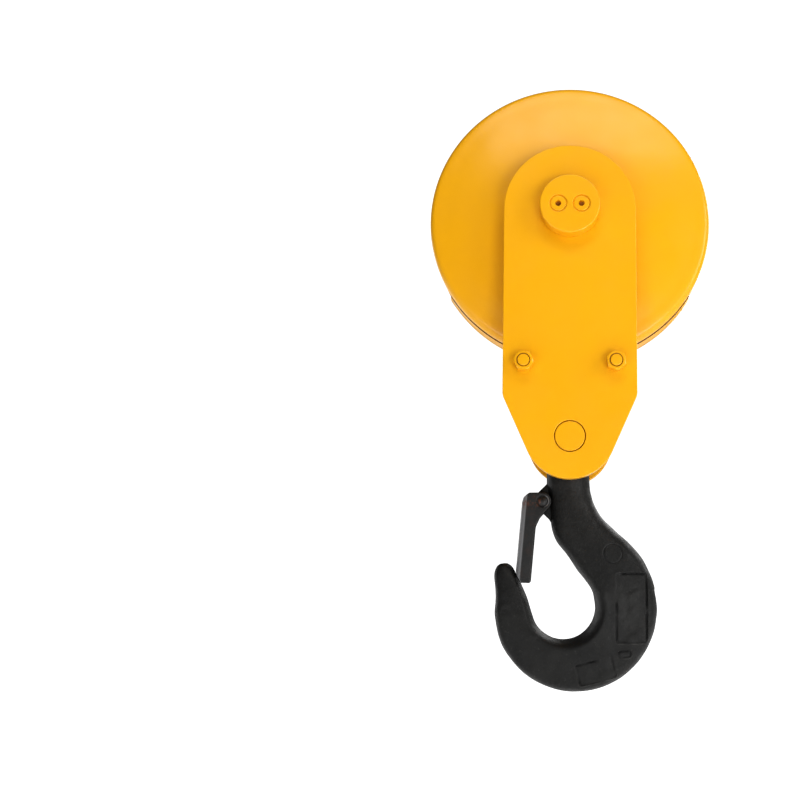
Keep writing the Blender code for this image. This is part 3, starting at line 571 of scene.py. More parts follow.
# Painted shade: brown inside the cap screws' hex sockets and round the studs in the tie nuts' bores.
HOLE_SHADE = shade_finish("painted_shade_in_holes", (0.4, 0.18, 0.02), (0.25, 0.1, 0.01))
KEY_STEEL = steel("key_steel", (0.86, 0.8, 0.66), 0.3, (1, 1, 10))


def put_painted(name, mesh, node, body="frame", angle=38):
    """Shows a mesh as a piece in yellow enamel, in place of one CAD node."""
    return put(name, mesh, body, PAINT, [node], angle)


# ---------------------------------------------------------------- frame

def plate_outline():
    """Round top about the axle, straight sides, rounded shoulders, then a taper to the rounded foot."""
    corner = Vector((PLATE_HALF_WIDTH, PLATE_SHOULDER_Z))
    to_foot = Vector((0, PLATE_FOOT_Z)) - corner
    half_angle = math.asin(PLATE_FOOT_RADIUS / to_foot.length)
    tangent = math.degrees(math.atan2(to_foot.y, to_foot.x) + half_angle) + 90
    foot = arc((0, PLATE_FOOT_Z), PLATE_FOOT_RADIUS, -180 - tangent, tangent, 60)
    top = arc((0, 0), PLATE_HALF_WIDTH, 0, 180, 97)
    right = rounded([(*foot[-1], 0), (*corner, 16 * MM), (*top[0], 0)], closed=False, count=8)[1:-1]
    left = [Vector((-p.x, p.y)) for p in right[::-1]]
    return top + left + foot + right


def make_side_plates():
    loops = [
        plate_outline(),
        circle((0, 0), AXLE_HOLE_RADIUS),
        circle((0, TRUNNION.z), TRUNNION_HOLE_RADIUS),
        circle((-TIE_X, TIE_Z), TIE_BORE, SMALL),
        circle((TIE_X, TIE_Z), TIE_BORE, SMALL),
    ]
    sides = (("front", -PLATE_OUTER_Y, -PLATE_INNER_Y), ("rear", PLATE_INNER_Y, PLATE_OUTER_Y))
    for side, low, high in sides:
        mesh = prism(f"{side}_plate", loops, low, high, PLATE_EDGE)
        put_painted(f"{side}_plate", mesh, f"{side}_side_plate")


def make_axle():
    head_low = PLATE_OUTER_Y + CLEARANCE
    profile = rounded([
        (0, AXLE_HIGH.y, 0),
        (AXLE_HEAD_RADIUS, AXLE_HIGH.y, 3.2 * MM),
        (AXLE_HEAD_RADIUS, head_low, 0.4 * MM),
        (AXLE_RADIUS, head_low, 0.5 * MM),
        (AXLE_RADIUS, AXLE_LOW.y, 0.8 * MM),
        (0, AXLE_LOW.y, 0),
    ], closed=False, count=8)
    put_painted("axle", lathe("axle", profile), "sheave_axle")


def bar_profile(radius, low, high):
    return [(0, low), (radius, low), (radius, high), (0, high)]


def ring_profile(radius, bore, low, high, edge, count=5):
    corners = [(radius, high), (radius, low), (bore, low), (bore, high)]
    return rounded([(r, y, edge) for r, y in corners], count=count)


def second_finish(piece, material, chosen):
    """Gives a second material to the faces whose centres are chosen."""
    piece.data.materials.append(material)
    for face in piece.data.polygons:
        if chosen(face.center):
            face.material_index = 1


def stepped_hole(x, face_y, flare, bores):
    """A cutter for a hole in a face towards -Y. Its mouth is rounded, and its bores are (radius, bottom)."""
    first = bores[0][0]
    profile = [(0, face_y - 2 * MM), (first + flare, face_y - 2 * MM)]
    for k in range(6):
        turn = math.pi / 2 * k / 5
        profile.append((first + flare * (1 - math.sin(turn)), face_y + flare * (1 - math.cos(turn))))
    for (radius, bottom), (next_radius, _) in zip(bores, bores[1:] + [(0, 0)]):
        profile += [(radius, bottom), (next_radius, bottom)]
    return lathe("hole", profile, at=(x, 0, 0), steps=MIDDLE)


def make_end_cap():
    face = CAP_LOW.y
    radius = CAP_HIGH.x
    profile = rounded([
        (0, CAP_HIGH.y, 0),
        (radius, CAP_HIGH.y, 0.5 * MM),
        (radius, face, 1.6 * MM),
        (0, face, 0),
    ], closed=False, count=7)
    bores = [
        (COUNTERBORE_RADIUS, face + 1.5 * MM),
        (SEAT_RADIUS, COUNTERBORE_Y),
        (SCREW_HOLE_RADIUS, CAP_HIGH.y + MM),
    ]
    cutters = [stepped_hole(x, face, 0.7 * MM, bores) for x in (-SCREW_X, SCREW_X)]
    put_painted("end_cap", combine(lathe("end_cap", profile), cutters), "axle_end_cap")
    for side, x in (("left", -SCREW_X), ("right", SCREW_X)):
        make_cap_screw(side, x)


def make_cap_screw(side, x):
    low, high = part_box(f"{side}_cap_screw")
    seat = COUNTERBORE_Y - CLEARANCE
    profile = rounded([
        (0, low.y, 0),
        (SCREW_HEAD_RADIUS, low.y, 1.1 * MM),
        (SCREW_HEAD_RADIUS, seat, 0.3 * MM),
        (SCREW_SHANK_RADIUS, seat, 0.3 * MM),
        (SCREW_SHANK_RADIUS, high.y, 0.6 * MM),
        (0, high.y, 0),
    ], closed=False)
    mouth = low.y - MM
    floor = low.y + SOCKET_DEPTH
    lead_end = low.y + 0.8 * MM
    socket = prism("socket", [hexagon((x, 0), SOCKET_FLATS, SOCKET_TURNS[side])], mouth, floor)
    cone = [(0, mouth), (0.66 * SOCKET_FLATS, mouth), (0.48 * SOCKET_FLATS, lead_end), (0, lead_end)]
    lead = lathe("lead", cone, at=(x, 0, 0), steps=SMALL)
    mesh = combine(lathe("screw", profile, at=(x, 0, 0), steps=MIDDLE), [socket, lead])
    screw = put_painted(f"{side}_socket_screw", mesh, f"{side}_cap_screw")

    def in_socket(place):
        deep = lead_end + 0.1 * MM < place.y < floor + MM
        return deep and math.hypot(place.x - x, place.z) < SOCKET_FLATS

    # Painted shade: the socket's walls and floor below its lead take the brown hole finish.
    second_finish(screw, HOLE_SHADE, in_socket)


def thread(name, radius, span, cut, plain, axis, at, steps=SMALL):
    """A bar with chamfered ends and a thread of pitch and depth cut, except in the span that stays plain."""
    low, high = span
    pitch, depth = cut
    bm = bmesh.new()
    rows = max(2, round((high - low) / pitch * 8))
    rings = [[bm.verts.new(PLACE[axis](0, 0, low) + Vector(at))]]
    for row in range(rows + 1):
        height = low + (high - low) * row / rows
        ring = []
        for i in range(steps):
            turn = i / steps
            wave = abs(((height / pitch + turn) % 1) * 2 - 1)
            valley = depth * min(1, max(0, 1.5 * wave - 0.25))
            if plain[0] < height < plain[1]:
                valley = 0
            end = min(height - low, high - height)
            reach = min(radius - valley, radius - depth * 1.3 + end)
            u = reach * math.cos(math.tau * turn)
            v = reach * math.sin(math.tau * turn)
            ring.append(bm.verts.new(PLACE[axis](u, v, height) + Vector(at)))
        rings.append(ring)
    rings.append([bm.verts.new(PLACE[axis](0, 0, high) + Vector(at))])
    join_rings(bm, rings, closed=False)
    return mesh_of(name, bm)


def make_tie_nut(name, x):
    """A hexagon nut with chamfered corners, built as sections side by side round its bore."""
    low = PLATE_OUTER_Y + CLEARANCE
    high = low + TIE_NUT_HEIGHT
    if name.startswith("front"):
        low, high = -high, -low
    flat = TIE_NUT_FLATS / 2
    washer_face = 0.97 * flat
    lead = 0.7 * MM
    bore = STUD_RADIUS + 0.25 * MM
    mouth = bore + lead
    bm = bmesh.new()
    columns = []
    for i in range(MIDDLE):
        degrees = 360 * i / MIDDLE
        reach = min(flat / math.cos(math.radians((degrees + 30) % 60 - 30)), TIE_NUT_CORNER)
        drop = CORNER_SLOPE * (reach - washer_face)
        section = [
            (mouth, low),
            (bore, low + lead),
            (bore, high - lead),
            (mouth, high),
            (washer_face, high),
            (reach, high - drop),
            (reach, low + drop),
            (washer_face, low),
        ]
        angle = math.radians(degrees + TIE_NUT_TURNS[name])
        column = [(x + r * math.cos(angle), y, TIE_Z + r * math.sin(angle)) for r, y in section]
        columns.append([bm.verts.new(place) for place in column])
    join_rings(bm, columns, closed=True)
    nut = put_painted(f"{name}_tie_nut", mesh_of("nut", bm), f"{name}_nut", angle=25)
    # Painted shade: the nut's bore and its lead take the brown hole finish, a dark ring round the stud end.
    second_finish(nut, HOLE_SHADE, lambda place: math.hypot(place.x - x, place.z - TIE_Z) < mouth)


def make_ties():
    tube_end = PLATE_INNER_Y - CLEARANCE
    for side, x in (("left", -TIE_X), ("right", TIE_X)):
        at = (x, 0, TIE_Z)
        cut = (STUD_PITCH, STUD_THREAD_DEPTH)
        plain = (-PLATE_INNER_Y, PLATE_INNER_Y)
        stud = thread("stud", STUD_RADIUS, (-STUD_END_Y, STUD_END_Y), cut, plain, "Y", at)
        put_painted(f"{side}_stud", stud, f"{side}_tie_rod", angle=60)
        profile = ring_profile(TUBE_RADIUS, TIE_BORE, -tube_end, tube_end, 0.5 * MM)
        tube = lathe("tube", profile, at=at, steps=MIDDLE)
        put_painted(f"{side}_tube", tube, f"{side}_spacer_tube")
        make_tie_nut(f"front_{side}", x)
        make_tie_nut(f"rear_{side}", x)


def cover_profile(side):
    """The dished sheet in section: the dome outside, the same curve one sheet inwards, and a rounded rim."""
    outer = [Vector(p) * MM for p in spline(COVER_POINTS, False, 4)]
    inner = []
    for i, here in enumerate(outer):
        along = (outer[min(i + 1, len(outer) - 1)] - outer[max(i - 1, 0)]).normalized()
        inner.append(here + Vector((along.y, -along.x)) * COVER_SHEET)
    inner[-1] = outer[-1] - Vector((COVER_SHEET, 0))
    inner[0] = outer[0] - Vector((0, COVER_SHEET))
    lip = rounded([(*outer[-2], 0), (*outer[-1], 0.5 * MM), (*inner[-1], 0.5 * MM), (*inner[-2], 0)],
                  closed=False, count=3)[1:-1]
    loop = outer[:-1] + lip + inner[-2::-1]
    return [(p.x, side * p.y) for p in loop]


def make_covers():
    for name, side in (("front", -1), ("rear", 1)):
        cover = lathe("cover", cover_profile(side))
        put_painted(f"{name}_dished_cover", cover, f"{name}_cover", angle=50)
        make_collar(f"{name}_cover_shim", SHIM_RADIUS)
        make_collar(f"{name}_hub_spacer", SPACER_RADIUS)


def make_collar(node, radius):
    low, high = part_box(node)
    profile = ring_profile(radius, AXLE_RADIUS + CLEARANCE, low.y, high.y, 0.4 * MM, 3)
    mesh = lathe(node, profile, steps=MIDDLE)
    put(f"{node}_ring", mesh, "frame", TURNED_STEEL, [node])


def guard_section():
    """A crowned strip in section, with its edges rounded."""
    half = GUARD_HALF_WIDTH
    clean = half - SEAM_WIDTH
    crown = [(GUARD_EDGE + (GUARD_CROWN - GUARD_EDGE) * (1 - (y / half) ** 2), y)
             for y in (-half, *np.linspace(-clean, clean, 15), half)]
    low = GUARD_EDGE - GUARD_SHEET
    inside = [(low, half), (low, -half)]
    corners = [(r, y, 0.0) for r, y in crown]
    corners[0] = (*crown[0], 0.5 * MM)
    corners[-1] = (*crown[-1], 0.5 * MM)
    corners += [(r, y, 0.7 * MM) for r, y in inside]
    return rounded(corners, count=3)


def make_guards():
    spans = {"upper": (SLOT_TOP, 180 - SLOT_TOP), "lower": (-180 - SLOT_BOTTOM, SLOT_BOTTOM)}
    section = guard_section()
    for name, (start, end) in spans.items():
        bm = bmesh.new()
        rings = []
        steps = round((end - start) / GUARD_STEP)
        shifts = [
            (0.0, GUARD_TRIM),
            (0.3 * GUARD_TRIM / GUARD_EDGE, 0.3 * GUARD_TRIM),
            (GUARD_TRIM / GUARD_EDGE, 0.0),
        ]
        first, last = math.radians(start), math.radians(end)
        stops = [(first + turn, inset) for turn, inset in shifts]
        stops += [(first + (last - first) * k / steps, 0.0) for k in range(1, steps)]
        stops += [(last - turn, inset) for turn, inset in shifts[::-1]]
        for angle, inset in stops:
            loop = offset_loop([Vector(p) for p in section], inset if signed_area(section) > 0 else -inset)
            rings.append([bm.verts.new((r * math.cos(angle), y, r * math.sin(angle))) for r, y in loop])
        guard = put_painted(f"{name}_guard", skinned("guard", bm, rings), f"{name}_rope_guard")
        # Painted shade: the guard's edge strips beside the covers' rims take the dark brown seam finish.
        second_finish(guard, SEAM_SHADE, lambda place: abs(place.y) > GUARD_HALF_WIDTH - SEAM_WIDTH)


def make_sheave():
    flank = math.radians(22.5)
    tangent_y = GROOVE_RADIUS * math.cos(flank)
    tangent_radius = GROOVE_CENTRE - GROOVE_RADIUS * math.sin(flank)
    rim_y = tangent_y + (SHEAVE_RADIUS - tangent_radius) * math.tan(flank)
    bottom = arc((GROOVE_CENTRE, 0), GROOVE_RADIUS, 112.5, 247.5, 25)
    half = [
        (SHEAVE_RADIUS, rim_y, 0.8 * MM),
        (SHEAVE_RADIUS, SHEAVE_HALF_WIDTH, 1.5 * MM),
        (RIM_INNER_RADIUS + 4 * MM, SHEAVE_HALF_WIDTH, 2 * MM),
        (RIM_INNER_RADIUS, WEB_HALF_WIDTH, 3 * MM),
        (HUB_RADIUS, WEB_HALF_WIDTH, 4 * MM),
        (HUB_RADIUS, HUB_HALF_WIDTH, 1.2 * MM),
        (HUB_BORE, HUB_HALF_WIDTH, 0.5 * MM),
        (HUB_BORE, HUB_LIP_HALF_WIDTH, 0.0),
        (HUB_LIP_RADIUS, HUB_LIP_HALF_WIDTH, 0.3 * MM),
    ]
    mirrored = [(r, -y, radius) for r, y, radius in half[::-1]]
    corners = half + mirrored + [(p.x, p.y, 0.0) for p in bottom[::-1]]
    put_painted("rope_sheave", lathe("sheave", rounded(corners)), "sheave", "sheave")


# ---------------------------------------------------------------- crosshead and nut

def make_crosshead():
    half_angle = math.degrees(math.asin(CROSSHEAD_HALF_Y / CROSSHEAD_FACE_RADIUS))
    middle = CROSSHEAD_HALF_X - CROSSHEAD_FACE_RADIUS
    face = arc((middle, 0), CROSSHEAD_FACE_RADIUS, -half_angle, half_angle, 33)
    corners = [(p.x, p.y, 0.0) for p in face]
    corners[0] = (*face[0], 3 * MM)
    corners[-1] = (*face[-1], 3 * MM)
    corners += [(-x, -y, r) for x, y, r in corners]
    body = prism("crosshead", [rounded(corners, count=6)], CROSSHEAD_BOTTOM, CROSSHEAD_HIGH.z, 2 * MM, "Z", 6)
    root = 30 * MM
    shoulder = PLATE_INNER_Y - 0.6 * MM
    joined = []
    for side in (-1, 1):
        profile = rounded([
            (0, side * root, 0),
            (TRUNNION_SHOULDER_RADIUS, side * root, 0),
            (TRUNNION_SHOULDER_RADIUS, side * shoulder, 0.8 * MM),
            (TRUNNION_RADIUS, side * shoulder, 0.5 * MM),
            (TRUNNION_RADIUS, side * CROSSHEAD_HIGH.y, 0.9 * MM),
            (0, side * CROSSHEAD_HIGH.y, 0),
        ], closed=False, count=5)
        joined.append(lathe("trunnion", profile, at=(0, 0, TRUNNION.z), steps=MIDDLE))
    body = combine(body, joined, "UNION")
    top, seat, foot = CROSSHEAD_HIGH.z, CROSSHEAD_SEAT_Z, CROSSHEAD_BOTTOM
    flare = 0.8 * MM
    bore = [
        (0, top + MM),
        (NUT_BORE + flare + MM, top + MM),
        (NUT_BORE, top - flare),
        (NUT_BORE, seat),
        (SHANK_BORE, seat),
        (SHANK_BORE, foot + flare),
        (SHANK_BORE + flare + MM, foot - MM),
        (0, foot - MM),
    ]
    body = combine(body, [lathe("bore", bore, "Z", steps=MIDDLE)])
    put_painted("crosshead_block", body, "crosshead", "crosshead")


def make_hook_nut():
    bore = SHANK_RADIUS + CLEARANCE
    corners = [
        (NUT_RADIUS, NUT_HIGH.z, 1.6 * MM),
        (NUT_RADIUS, NUT_LOW.z, 0.8 * MM),
        (bore, NUT_LOW.z, 0.6 * MM),
        (bore, NUT_HIGH.z, 1.0 * MM),
    ]
    nut = lathe("nut", rounded(corners), "Z", steps=FINE)
    half = KEY_WIDTH / 2 + CLEARANCE
    left, right = KEY_X - half, KEY_X + half
    mouth, end = -NUT_RADIUS - MM, -NUT_RADIUS + SLOT_DEPTH
    outline = rounded([(left, mouth, 0), (right, mouth, 0), (right, end, 0.6 * MM), (left, end, 0.6 * MM)])
    slot = prism("slot", [outline], KEY_BOTTOM - CLEARANCE, NUT_HIGH.z + MM, axis="Z")
    put_painted("round_nut", combine(nut, [slot]), "hook_nut", "hook")
    low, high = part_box("nut_lock_key")
    corners = [(low.x, low.y), (high.x, low.y), (high.x, high.y), (low.x, high.y)]
    outline = rounded([(x, y, 0.4 * MM) for x, y in corners])
    key = prism("key", [outline], low.z, high.z, 0.4 * MM, "Z")
    put("lock_key", key, "hook", KEY_STEEL, ["nut_lock_key"])


# ---------------------------------------------------------------- hook

# Sections down the hook: inner and outer point in the XZ plane and half the thickness, in millimetres
NECK_SECTIONS = [
    (-24.3, -246, 20.3, -246, 22.3),
    (-24.3, -262, 20.3, -261, 22.3),
    (-24.3, -277, 20.3, -275, 22.3),
    (-22.2, -286, 20.8, -284, 21.4),
    (-20.6, -294, 22.3, -291, 21),
    (-20.4, -305, 25.4, -300.5, 20.8),
    (-18.8, -323, 33.8, -314.5, 21.4),
    (-13.8, -338, 48.6, -328.8, 22.6),
    (-3.4, -351, 63.6, -342, 24.2),
    (6.8, -366, 75.8, -357.5, 25.8),
    (17, -379, 84, -374, 26.9),
    (23.4, -389, 88, -387, 27.4),
]
TIP_SECTIONS = [
    (-40.8, -409, -77.6, -415, 16),
    (-45, -395.5, -77, -399.5, 14.6),
    (-50.8, -382.5, -77.4, -385, 12.7),
    (-56.6, -371, -78.6, -373.2, 10.2),
    (-61, -363.9, -76.6, -365.2, 6.6),
    (-65.6, -361, -72.4, -361.4, 2.8),
]
BOWL_CENTRE = Vector((-7, -405.4))
BOWL_RADIUS = 33.4
BODY_CENTRE = Vector((5.7, -406.8))
BODY_RADIUS = 84.3
BOWL_START = 13
BOWL_SWEEP = 165
BODY_HALF_THICKNESS = 27.4
BODY_THINNING = 10.4
HOOK_RING = 64
ROUND_RINGS = 22
TIP_RINGS = 26
LUG_RADIUS = 8.6
LUG_TOP = [(-8, -262), (-22, -275.2), (-24.8, -278.8), (-33.6, -287.6)]
LUG_FOOT = [(-27.8, -309), (-21.4, -315.2), (-18, -320.5), (-8, -332)]
LUG_HALF_WIDTH = 4.5 * MM
PIN_RADIUS = 3 * MM
PIN_BORE = PIN_RADIUS + CLEARANCE


def hook_sections():
    """Neck, then the bowl about its own centre with the body circle outside it, then the tip."""
    sections = list(NECK_SECTIONS)
    for degrees in range(BOWL_START, BOWL_START - BOWL_SWEEP - 1, -15):
        angle = math.radians(degrees)
        along = Vector((math.cos(angle), math.sin(angle)))
        offset = BOWL_CENTRE - BODY_CENTRE
        shadow = offset.dot(along)
        reach = math.sqrt(shadow**2 - offset.length_squared + BODY_RADIUS**2) - shadow
        inner = BOWL_CENTRE + BOWL_RADIUS * along
        outer = BOWL_CENTRE + reach * along
        half = BODY_HALF_THICKNESS - BODY_THINNING * (BOWL_START - degrees) / BOWL_SWEEP
        sections.append((*inner, *outer, half))
    return sections + TIP_SECTIONS


def side_height(across):
    """Half thickness of the full section, from its inner end at -1 to its outer end at 1.

    The inner end is round with a crease, the sides thin to 84 percent, and the outer end is round.
    """
    if across < -0.7:
        return math.sqrt(max(0, 1 - ((-across - 0.55) / 0.45) ** 2)) / 0.943
    if across < 0.62:
        return 1 - 0.16 * (across + 0.7) / 1.32
    return (1 - 0.16) * math.sqrt(max(0, 1 - ((across - 0.62) / 0.38) ** 2))


def section_ring(bm, inner, outer, half, fullness):
    """One section, between an ellipse at fullness 0 and flat sides with a creased inner edge at 1."""
    centre = (inner + outer) / 2
    reach = (outer - inner) / 2
    ring = []
    for i in range(HOOK_RING):
        angle = math.tau * i / HOOK_RING
        across = math.cos(angle)
        round_up = math.sin(angle)
        up = (1 - fullness) * round_up + fullness * math.copysign(side_height(across), round_up)
        place = centre + reach * across
        ring.append(bm.verts.new((place.x * MM, half * up * MM, place.y * MM)))
    return ring


def make_hook():
    bm = bmesh.new()
    rings = []
    sections = spline(hook_sections(), False, 4)
    for i, (*inner, ox, oz, half) in enumerate(sections):
        growing = min(1, max(0, (i - ROUND_RINGS) / ROUND_RINGS))
        fading = min(1, max(0, (len(sections) - 3 - i) / TIP_RINGS))
        rings.append(section_ring(bm, Vector(inner), Vector((ox, oz)), half, growing * fading))
    body = skinned("hook", bm, rings)
    pivot = (LATCH_PIVOT.x / MM, LATCH_PIVOT.z / MM)
    nose = arc(pivot, LUG_RADIUS, 140, 250, 20)
    outline = [Vector(p) * MM for p in (*LUG_TOP, *nose, *LUG_FOOT)]
    lug = prism("lug", [outline], -LUG_HALF_WIDTH, LUG_HALF_WIDTH, 1.2 * MM)
    body = combine(body, [lug], "UNION")
    body = softened(body, 0.8 * MM, 8)
    shape_forging(body)
    hole = bar_profile(PIN_BORE, -20 * MM, 20 * MM)
    body = combine(body, [lathe("pin hole", hole, at=LATCH_PIVOT, steps=SMALL)])
    put("forged_hook", body, "hook", FORGING, ["hook"], smooth_all=True)
    cut = (SHANK_PITCH, SHANK_THREAD_DEPTH)
    plain = (SHANK_FOOT_Z - MM, SHANK_PLAIN_TOP_Z)
    shank = thread("shank", SHANK_RADIUS, (SHANK_FOOT_Z, HOOK_HIGH.z), cut, plain, "Z", (0, 0, 0), MIDDLE)
    put("hook_shank", shank, "hook", FORGING, angle=60)


def smooth_step(values, low, high):
    t = np.clip((values - low) / (high - low), 0, 1)
    return t * t * (3 - 2 * t)


def near(values, middle, width):
    """1 at the middle, falling to 0 one width away."""
    return 1 - smooth_step(np.abs(values - middle), 0, width)


def point_rows(mesh, name):
    """Three numbers for each point of the mesh: its place, called co, or its normal."""
    values = np.empty(len(mesh.vertices) * 3)
    mesh.vertices.foreach_get(name, values)
    return values.reshape(-1, 3)


def set_attribute(mesh, name, values):
    attribute = mesh.attributes.new(name, "FLOAT", "POINT")
    attribute.data.foreach_set("value", np.clip(values, 0, 1))


def rounded_box_depth(u, v, half_u, half_v, corner):
    """How far inside a rounded rectangle each point is, negative outside."""
    across = np.maximum(np.abs(u) - half_u + corner, 0)
    up = np.maximum(np.abs(v) - half_v + corner, 0)
    inside = np.minimum(np.maximum(np.abs(u) - half_u, np.abs(v) - half_v), 0)
    return -(np.hypot(across, up) - corner + np.where((across == 0) & (up == 0), inside + corner, 0))


# Marks sunk in both sides of the hook: centre x and z, half sizes, turn in degrees, depth, in millimetres
SUNK_MARKS = [
    (62.5, -405, 16.2, 35, 0, 1.3),
    (25.9, -468.3, 19.5, 11, 14, 1.2),
    (54.9, -451, 6.8, 3.6, 4, 0.9),
]
RING_MARK = (43.9, -350.4, 9.6, 0.7)


def shape_forging(mesh):
    """Sinks the blank marking panels, raises the trimmed flash line and adds the unevenness of scale."""
    count = len(mesh.vertices)
    places = point_rows(mesh, "co")
    normals = point_rows(mesh, "normal")
    x, y, z = (places[:, k] / MM for k in range(3))
    side = np.sign(y)
    facing = smooth_step(np.abs(normals[:, 1]), 0.45, 0.75)
    struck = smooth_step(np.array([noise.noise(Vector(p) * 75) for p in places]), -0.35, 0.15)
    sink, creased, worn_and_highlit = np.zeros((3, count))
    for cx, cz, half_u, half_v, turn, depth in SUNK_MARKS:
        a = math.radians(turn)
        u = (x - cx) * math.cos(a) + (z - cz) * math.sin(a)
        v = -(x - cx) * math.sin(a) + (z - cz) * math.cos(a)
        inside = rounded_box_depth(u, v, half_u, half_v, 2.5)
        lower_edge = smooth_step(-v, half_v - 4, half_v)
        groove = struck * (1 - 0.8 * lower_edge) * near(inside, 0.9, 1.5)
        sink += depth * (0.4 + 0.6 * struck) * smooth_step(inside, -0.5, 0.5) + 1.2 * groove
        # Painted shade for the groove round the mark.
        creased += 0.9 * groove
        # Rims of the marks: partly wear, and a painted highlight strongest along the lower edge.
        worn_and_highlit += (0.2 + 0.8 * lower_edge) * near(inside, -0.9, 0.9)
    cx, cz, radius, depth = RING_MARK
    reach = np.hypot(x - cx, z - cz) - radius
    sink += depth * near(reach, 0, 1.2)
    creased += 0.7 * near(reach, 0, 1.1)
    # The material reads these: painted shade in the grooves, and wear with a painted highlight on the rims.
    set_attribute(mesh, "groove_shade", facing * smooth_step(creased, 0.15, 0.8))
    set_attribute(mesh, "wear_and_highlight", facing * 0.8 * smooth_step(worn_and_highlit, 0.2, 0.9))
    shift = np.zeros((count, 3))
    shift[:, 1] = -side * sink * facing * MM
    flash = 0.4 * (1 - smooth_step(np.abs(y), 0.7, 2.0)) * smooth_step(-z, 262, 285)
    uneven = np.array([noise.noise(Vector(p) * 60) * 0.28 + noise.noise(Vector(p) * 190) * 0.12
                       for p in places])
    fade = smooth_step(-z, 250, 262)
    shift += normals * ((flash + uneven * fade) * MM)[:, None]
    mesh.vertices.foreach_set("co", (places + shift).ravel())
    mesh.update()


# ---------------------------------------------------------------- latch

LATCH_HALF_WIDTH = 12.4
LATCH_SHEET = 2.6
LATCH_BEND = 6.5
LATCH_BOSS = 9
RIVET_RECESS = 6.4 * MM

# Corners of the latch's side view below and behind its boss: x, z and rounding radius, in millimetres
LATCH_CORNERS = [
    (-31.9, -313.8, 5),
    (-36.2, -323, 12),
    (-41.2, -380.8, 0.6),
    (-50.6, -380.4, 1),
    (-54.9, -372.6, 1),
    (-56.8, -366, 1),
    (-51.4, -302, 12),
    (-48.4, -292.5, 4),
    (-42.5, -287.6, 4),
]


def latch_frame():
    """The latch's back web: its upper end, the direction down it and the direction into the channel."""
    upper = Vector((-50.4, -302))
    lower = Vector((-55.8, -366))
    down = (lower - upper).normalized()
    return upper, down, Vector((-down.y, down.x))


def channel_block(inset, corner, length):
    """A long block with two rounded edges, set in from the web's outer face and from the cheeks."""
    upper, down, inward = latch_frame()
    half = LATCH_HALF_WIDTH - inset
    corners = [(inset, -half, corner), (70, -half, 0), (70, half, 0), (inset, half, corner)]
    section = rounded(corners, count=12)
    bm = bmesh.new()
    rings = []
    for along in (-length, length):
        centre = upper + down * (30 + along)
        ring = [(centre.x + inward.x * u, v, centre.y + inward.y * u) for u, v in section]
        rings.append([bm.verts.new([MM * c for c in place]) for place in ring])
    return skinned("block", bm, rings)


def make_latch():
    pivot = Vector((LATCH_PIVOT.x / MM, LATCH_PIVOT.z / MM))
    boss = [(*p, 0) for p in arc(pivot, LATCH_BOSS, 90, -50, 24)]
    outline = [Vector(p) * MM for p in rounded(boss + LATCH_CORNERS)]
    half = LATCH_HALF_WIDTH * MM
    body = prism("latch", [outline], -half - MM, half + MM)
    body = combine(body, [channel_block(0, LATCH_BEND, 60)], "INTERSECT")
    body = combine(body, [channel_block(LATCH_SHEET, LATCH_BEND - LATCH_SHEET, 70)])
    reach = 2 * half
    seat = half - 0.8 * MM
    cuts = [bar_profile(PIN_BORE, -reach, reach)]
    cuts += [bar_profile(RIVET_RECESS, side * seat, side * reach) for side in (-1, 1)]
    body = combine(body, [lathe("hole", profile, at=LATCH_PIVOT, steps=SMALL) for profile in cuts])
    body = softened(body, 0.45 * MM, 2)
    highlight_bends(body)
    put("pressed_latch", body, "latch", PRESSING, ["latch"], smooth_all=True)


def highlight_bends(mesh):
    """Marks the two long bends of the latch for a pale grey painted highlight."""
    inward = latch_frame()[2]
    normals = point_rows(mesh, "normal")
    outward = -(normals[:, 0] * inward.x + normals[:, 2] * inward.y)
    turned = np.minimum(outward, np.abs(normals[:, 1]))
    # Painted highlight mask for the bends.
    set_attribute(mesh, "wear_and_highlight", smooth_step(turned, 0.1, 0.35))


def make_latch_pin():
    low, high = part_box("latch_pin")
    head = (high.x - low.x) / 2
    head_low = LATCH_HALF_WIDTH * MM + CLEARANCE
    half = [
        (0, high.y, 0),
        (head * 0.62, high.y, 0),
        (head, head_low + 0.5 * MM, 0.5 * MM),
        (head, head_low, 0),
        (PIN_RADIUS, head_low, 0),
    ]
    corners = half + [(r, -y, radius) for r, y, radius in half[::-1]]
    mesh = lathe("pin", rounded(corners, closed=False), at=LATCH_PIVOT, steps=SMALL)
    put("riveted_pin", mesh, "hook", PRESSING, ["latch_pin"])


def make_latch_spring():
    """The torsion spring: a short leg, two coils about the pin and a leg that lies on the latch's web."""
    coil, wire, turns = 5.1, 0.7, 2
    start_y = LUG_HALF_WIDTH / MM + 0.3 + wire
    rise = 2 * wire + 0.24
    count = 40 * turns
    start = math.radians(215)
    points = []
    for i in range(count + 1):
        angle = start + math.tau * turns * i / count
        points.append(Vector((LATCH_PIVOT.x / MM + coil * math.cos(angle), start_y + rise * turns * i / count,
                              LATCH_PIVOT.z / MM + coil * math.sin(angle))))
    tangent = Vector((math.sin(start), 0, -math.cos(start)))
    last = points[-1]
    path = [points[0] + tangent * 3, *points, Vector((-41, last.y, -306.5)), Vector((-44.6, last.y, -315))]
    curve = bpy.data.curves.new("spring", "CURVE")
    curve.dimensions = "3D"
    curve.bevel_depth = wire * MM
    curve.bevel_resolution = 4
    curve.use_fill_caps = True
    line = curve.splines.new("POLY")
    line.points.add(len(path) - 1)
    for point, place in zip(line.points, path):
        point.co = (*(place * MM), 1)
    mesh = welded(evaluated(new_object("spring", curve)), 0.01 * MM)
    put("torsion_spring", mesh, "latch", SPRING_STEEL, ["latch_spring"], smooth_all=True)


# ---------------------------------------------------------------- kept CAD nodes

